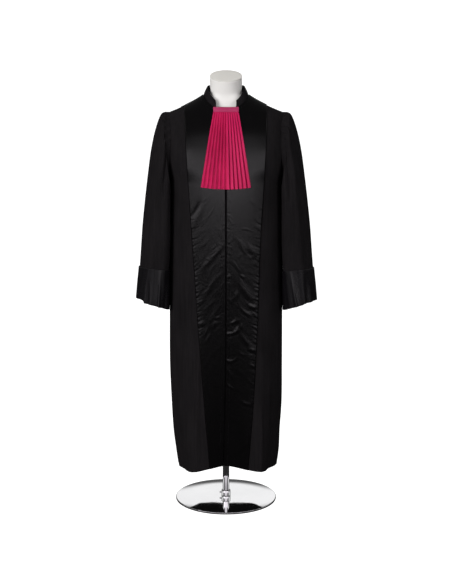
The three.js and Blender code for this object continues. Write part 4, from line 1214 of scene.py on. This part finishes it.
def rounded_rim(radius, low, high, bevel):
    turn = np.linspace(0, math.pi / 2, 7)
    lower = [(radius - bevel + bevel * math.sin(t), low + bevel - bevel * math.cos(t)) for t in turn]
    upper = [(radius - bevel + bevel * math.cos(t), high - bevel + bevel * math.sin(t)) for t in turn]
    return lower + upper


def build_stand():
    base = [(BASE_RADIUS * 0.6, 0), *rounded_rim(BASE_RADIUS, 0, BASE_THICKNESS, 2.6),
            (BASE_RADIUS * 0.6, BASE_THICKNESS)]
    finish_piece(revolve("base_disc", base, CHROME, 192), "chrome", "base_plate")
    low = BASE_THICKNESS + GAP
    top = FORM_FOOT - FLANGE_THICKNESS - 2 * GAP
    finish_piece(revolve("pole_tube", rounded_rim(POLE_RADIUS, low, top, 0.6), CHROME), "chrome", "pole")
    bore = POLE_RADIUS + BORE_GAP
    high = low + SOCKET_HEIGHT
    socket = np.array([(bore, low), *rounded_rim(SOCKET_RADIUS, low, high, 1.6), (bore, high)])
    finish_piece(ring_solid("base_collar", socket, CHROME), "chrome", "base_socket")
    plate_top = FORM_FOOT - GAP
    plate = plate_top - FLANGE_THICKNESS
    foot = plate_top - FLANGE_TUBE_HEIGHT
    flange = np.array([(bore, plate - 0.2), (bore, foot), *rounded_rim(FLANGE_TUBE, foot, plate, 1.2)[:7],
                       (FLANGE_TUBE, plate), *rounded_rim(FLANGE_RADIUS, plate, plate_top, 1.2),
                       (bore * 0.5, plate_top), (bore * 0.5, plate - 0.2)])
    finish_piece(ring_solid("form_flange", flange, CHROME), "chrome", "form_socket")
    build_screw()


def ring_solid(name, profile, material, segments=96):
    """A turned ring from a closed profile that doesn't meet the axis."""
    points = turned_rings(profile, segments)
    rows = len(points)
    i, j = np.mgrid[0:rows, 0:segments]
    i, j = i.ravel(), j.ravel()
    right = (j + 1) % segments
    low, high = i * segments, (i + 1) % rows * segments
    quads = np.stack([low + j, low + right, high + right, high + j], -1)
    vertices = points.reshape(-1, 3)
    groups, _ = facing_out(vertices, [quads], None)
    return make_object(name, vertices, groups, None, material)


def build_screw():
    turn = np.linspace(0, 2 * math.pi, 24, endpoint=False)
    steps = [(0.0, 2.6), (0.4, 3.0), (6.2, 3.0), (6.8, 2.6), (6.8, 1.5), (5.0, 1.4)]
    rings = []
    for run, radius in steps:
        x = -(SOCKET_RADIUS + GAP + run)
        level = BASE_THICKNESS + SCREW_HEIGHT + radius * np.sin(turn)
        rings.append(np.stack([np.full(len(turn), x), radius * np.cos(turn), level], -1))
    finish_piece(capped("socket_screw", np.array(rings), CHROME), "chrome", "set_screw")


# Camera, lights and stage

CAMERA_DISTANCE, CAMERA_HEIGHT, CAMERA_PITCH, FOCAL_PIXELS, FRAME_HEIGHT = 4200, 1500, 9.61, 1152, 586
SENSOR = 36.0


def build_camera():
    data = bpy.data.cameras.new("photo_camera")
    data.sensor_fit = "VERTICAL"
    data.sensor_height = SENSOR
    data.lens = SENSOR * FOCAL_PIXELS / FRAME_HEIGHT
    camera = bpy.data.objects.new("photo_camera", data)
    camera.location = Vector((0, -CAMERA_DISTANCE, CAMERA_HEIGHT)) * MM
    camera.rotation_euler = (math.radians(90 - CAMERA_PITCH), 0, 0)
    bpy.context.scene.collection.objects.link(camera)
    bpy.context.scene.camera = camera


WINDOW_TINT = (1.0, 0.95, 1.0)


# Name, place, aim, width, height and power. Only a window is mirrored in the cloth and the chrome.
LIGHTS = [
    ("key_left", (-2.7, -3.0, 2.1), (0, 0, 1.0), 1.6, 2.4, 164),
    ("key_right", (3.0, -2.7, 2.1), (0, 0, 1.0), 1.6, 2.4, 58),
    ("low_window", (0, -6.0, 0.785), (0, 0, 0.785), 9.0, 0.73, 42),
    ("high_window", (0, -6.0, 1.525), (0, 0, 1.525), 9.0, 0.75, 23),
    ("upper_window", (0, -6.0, 2.4), (0, 0, 2.4), 9.0, 1.0, 21),
    ("top_window", (0, -6.0, 3.6), (0, 0, 3.6), 9.0, 1.4, 15),
    ("left_window", (-5.8, -4.7, 1.36), (0, 0, 1.36), 3.5, 1.88, 42),
    ("right_window", (5.8, -4.7, 1.36), (0, 0, 1.36), 3.5, 1.88, 25),
    ("back_soft", (0, 4.4, 2.0), (0, 0, 1.0), 3.0, 2.0, 120),
    ("top_soft", (0, 1.2, 4.4), (0, 0, 1.4), 2.4, 2.4, 70),
]


def area_light(name, place, aim, width, height, power):
    mirrored = name.endswith("window")
    data = bpy.data.lights.new(name, "AREA")
    data.shape = "RECTANGLE"
    data.size, data.size_y = width, height
    data.energy = power
    data.color = WINDOW_TINT if mirrored else (1, 1, 1)
    light = bpy.data.objects.new(name, data)
    light.location = place
    light.visible_glossy = mirrored
    light.rotation_euler = (Vector(aim) - Vector(place)).to_track_quat("-Z", "Y").to_euler()
    bpy.context.scene.collection.objects.link(light)


# What the cloth and the chrome see of the room: a bright band behind the object, low and high elsewhere.
BEHIND, AHEAD, OVERHEAD = 1.0, 0.10, 0.085
FLOOR_BOUNCE, FLOOR_GLOW = 0.03, 0.09


def spread_range(nodes, links, value, start, end, low, high):
    limits = {"From Min": start, "From Max": end, "To Min": low, "To Max": high}
    made = node(nodes, "ShaderNodeMapRange", limits, interpolation_type="SMOOTHSTEP")
    links.new(value, made.inputs["Value"])
    return made.outputs["Result"]


def seen_or_lit(nodes, links, seen, lit, output):
    """Joins what is seen directly with what lights the object."""
    mix = nodes.new("ShaderNodeMixShader")
    links.new(nodes.new("ShaderNodeLightPath").outputs["Is Camera Ray"], mix.inputs["Fac"])
    links.new(lit, mix.inputs[1])
    links.new(seen, mix.inputs[2])
    links.new(mix.outputs["Shader"], output.inputs["Surface"])


def build_world():
    world = bpy.data.worlds.new("studio")
    bpy.context.scene.world = world
    world.use_nodes = True
    nodes, links = world.node_tree.nodes, world.node_tree.links
    split = nodes.new("ShaderNodeSeparateXYZ")
    links.new(nodes.new("ShaderNodeTexCoord").outputs["Generated"], split.inputs[0])
    aside = node(nodes, "ShaderNodeMath", operation="ABSOLUTE")
    links.new(split.outputs["X"], aside.inputs[0])
    narrow = spread_range(nodes, links, aside.outputs[0], 0.10, 0.22, 1.0, 0.0)
    beside = spread_range(nodes, links, split.outputs["Y"], 0.30, 0.50, 1.0, 0.0)
    away = spread_range(nodes, links, split.outputs["Y"], -0.35, -0.15, 0.0, 1.0)
    behind = combine(nodes, links, "MULTIPLY", away, combine(nodes, links, "MAXIMUM", narrow, beside))
    above = spread_range(nodes, links, split.outputs["Z"], 0.24, 0.30, 0.0, 1.0)
    below = spread_range(nodes, links, split.outputs["Z"], 0.38, 0.46, 1.0, 0.0)
    share = combine(nodes, links, "MULTIPLY", behind, combine(nodes, links, "MULTIPLY", above, below))
    rest = spread_range(nodes, links, split.outputs["Z"], 0.1, 0.5, AHEAD, OVERHEAD)
    extra = combine(nodes, links, "MULTIPLY", share, combine(nodes, links, "SUBTRACT", BEHIND, rest))
    links.new(combine(nodes, links, "ADD", rest, extra), nodes["Background"].inputs["Color"])
    white = node(nodes, "ShaderNodeBackground", {"Color": (1, 1, 1, 1), "Strength": 1.2})
    seen_or_lit(nodes, links, white.outputs[0], nodes["Background"].outputs[0], nodes["World Output"])


def build_floor():
    bpy.ops.mesh.primitive_plane_add(size=40, location=(0, 0, -0.0005))
    floor = bpy.context.object
    floor.name = "studio_floor"
    material, nodes, links, shader = new_material("pale_floor")
    shader.inputs["Base Color"].default_value = (0.10, 0.10, 0.10, 1)
    shader.inputs["Roughness"].default_value = 0.9
    shader.inputs["Specular IOR Level"].default_value = 0.0
    shader.inputs["Emission Color"].default_value = (1, 1, 1, 1)
    shader.inputs["Emission Strength"].default_value = 1.2
    bounce = node(nodes, "ShaderNodeBsdfDiffuse", {"Color": (FLOOR_BOUNCE,) * 3 + (1,)})
    place = nodes.new("ShaderNodeSeparateXYZ")
    links.new(nodes.new("ShaderNodeTexCoord").outputs["Object"], place.inputs[0])
    glow = node(nodes, "ShaderNodeEmission", {"Color": (1, 1, 1, 1)})
    near = combine(nodes, links, "MULTIPLY",
                   spread_range(nodes, links, place.outputs["Y"], 0.15, 0.5, 0.0, FLOOR_GLOW),
                   spread_range(nodes, links, place.outputs["Y"], 0.9, 1.3, 1.0, 0.0))
    links.new(near, glow.inputs["Strength"])
    both = nodes.new("ShaderNodeAddShader")
    links.new(bounce.outputs[0], both.inputs[0])
    links.new(glow.outputs[0], both.inputs[1])
    seen_or_lit(nodes, links, shader.outputs[0], both.outputs[0], nodes["Material Output"])
    floor.data.materials.append(material)


bpy.context.scene.view_settings.view_transform = "Standard"
build_camera()
build_world()
build_floor()
for light in LIGHTS:
    area_light(*light)

fronts = build_fronts()
build_back()
build_bands()
build_underlap()
build_sleeves()
build_cuffs()
build_collar()
build_jabot()
build_jabot_band()
build_form()
build_stand()
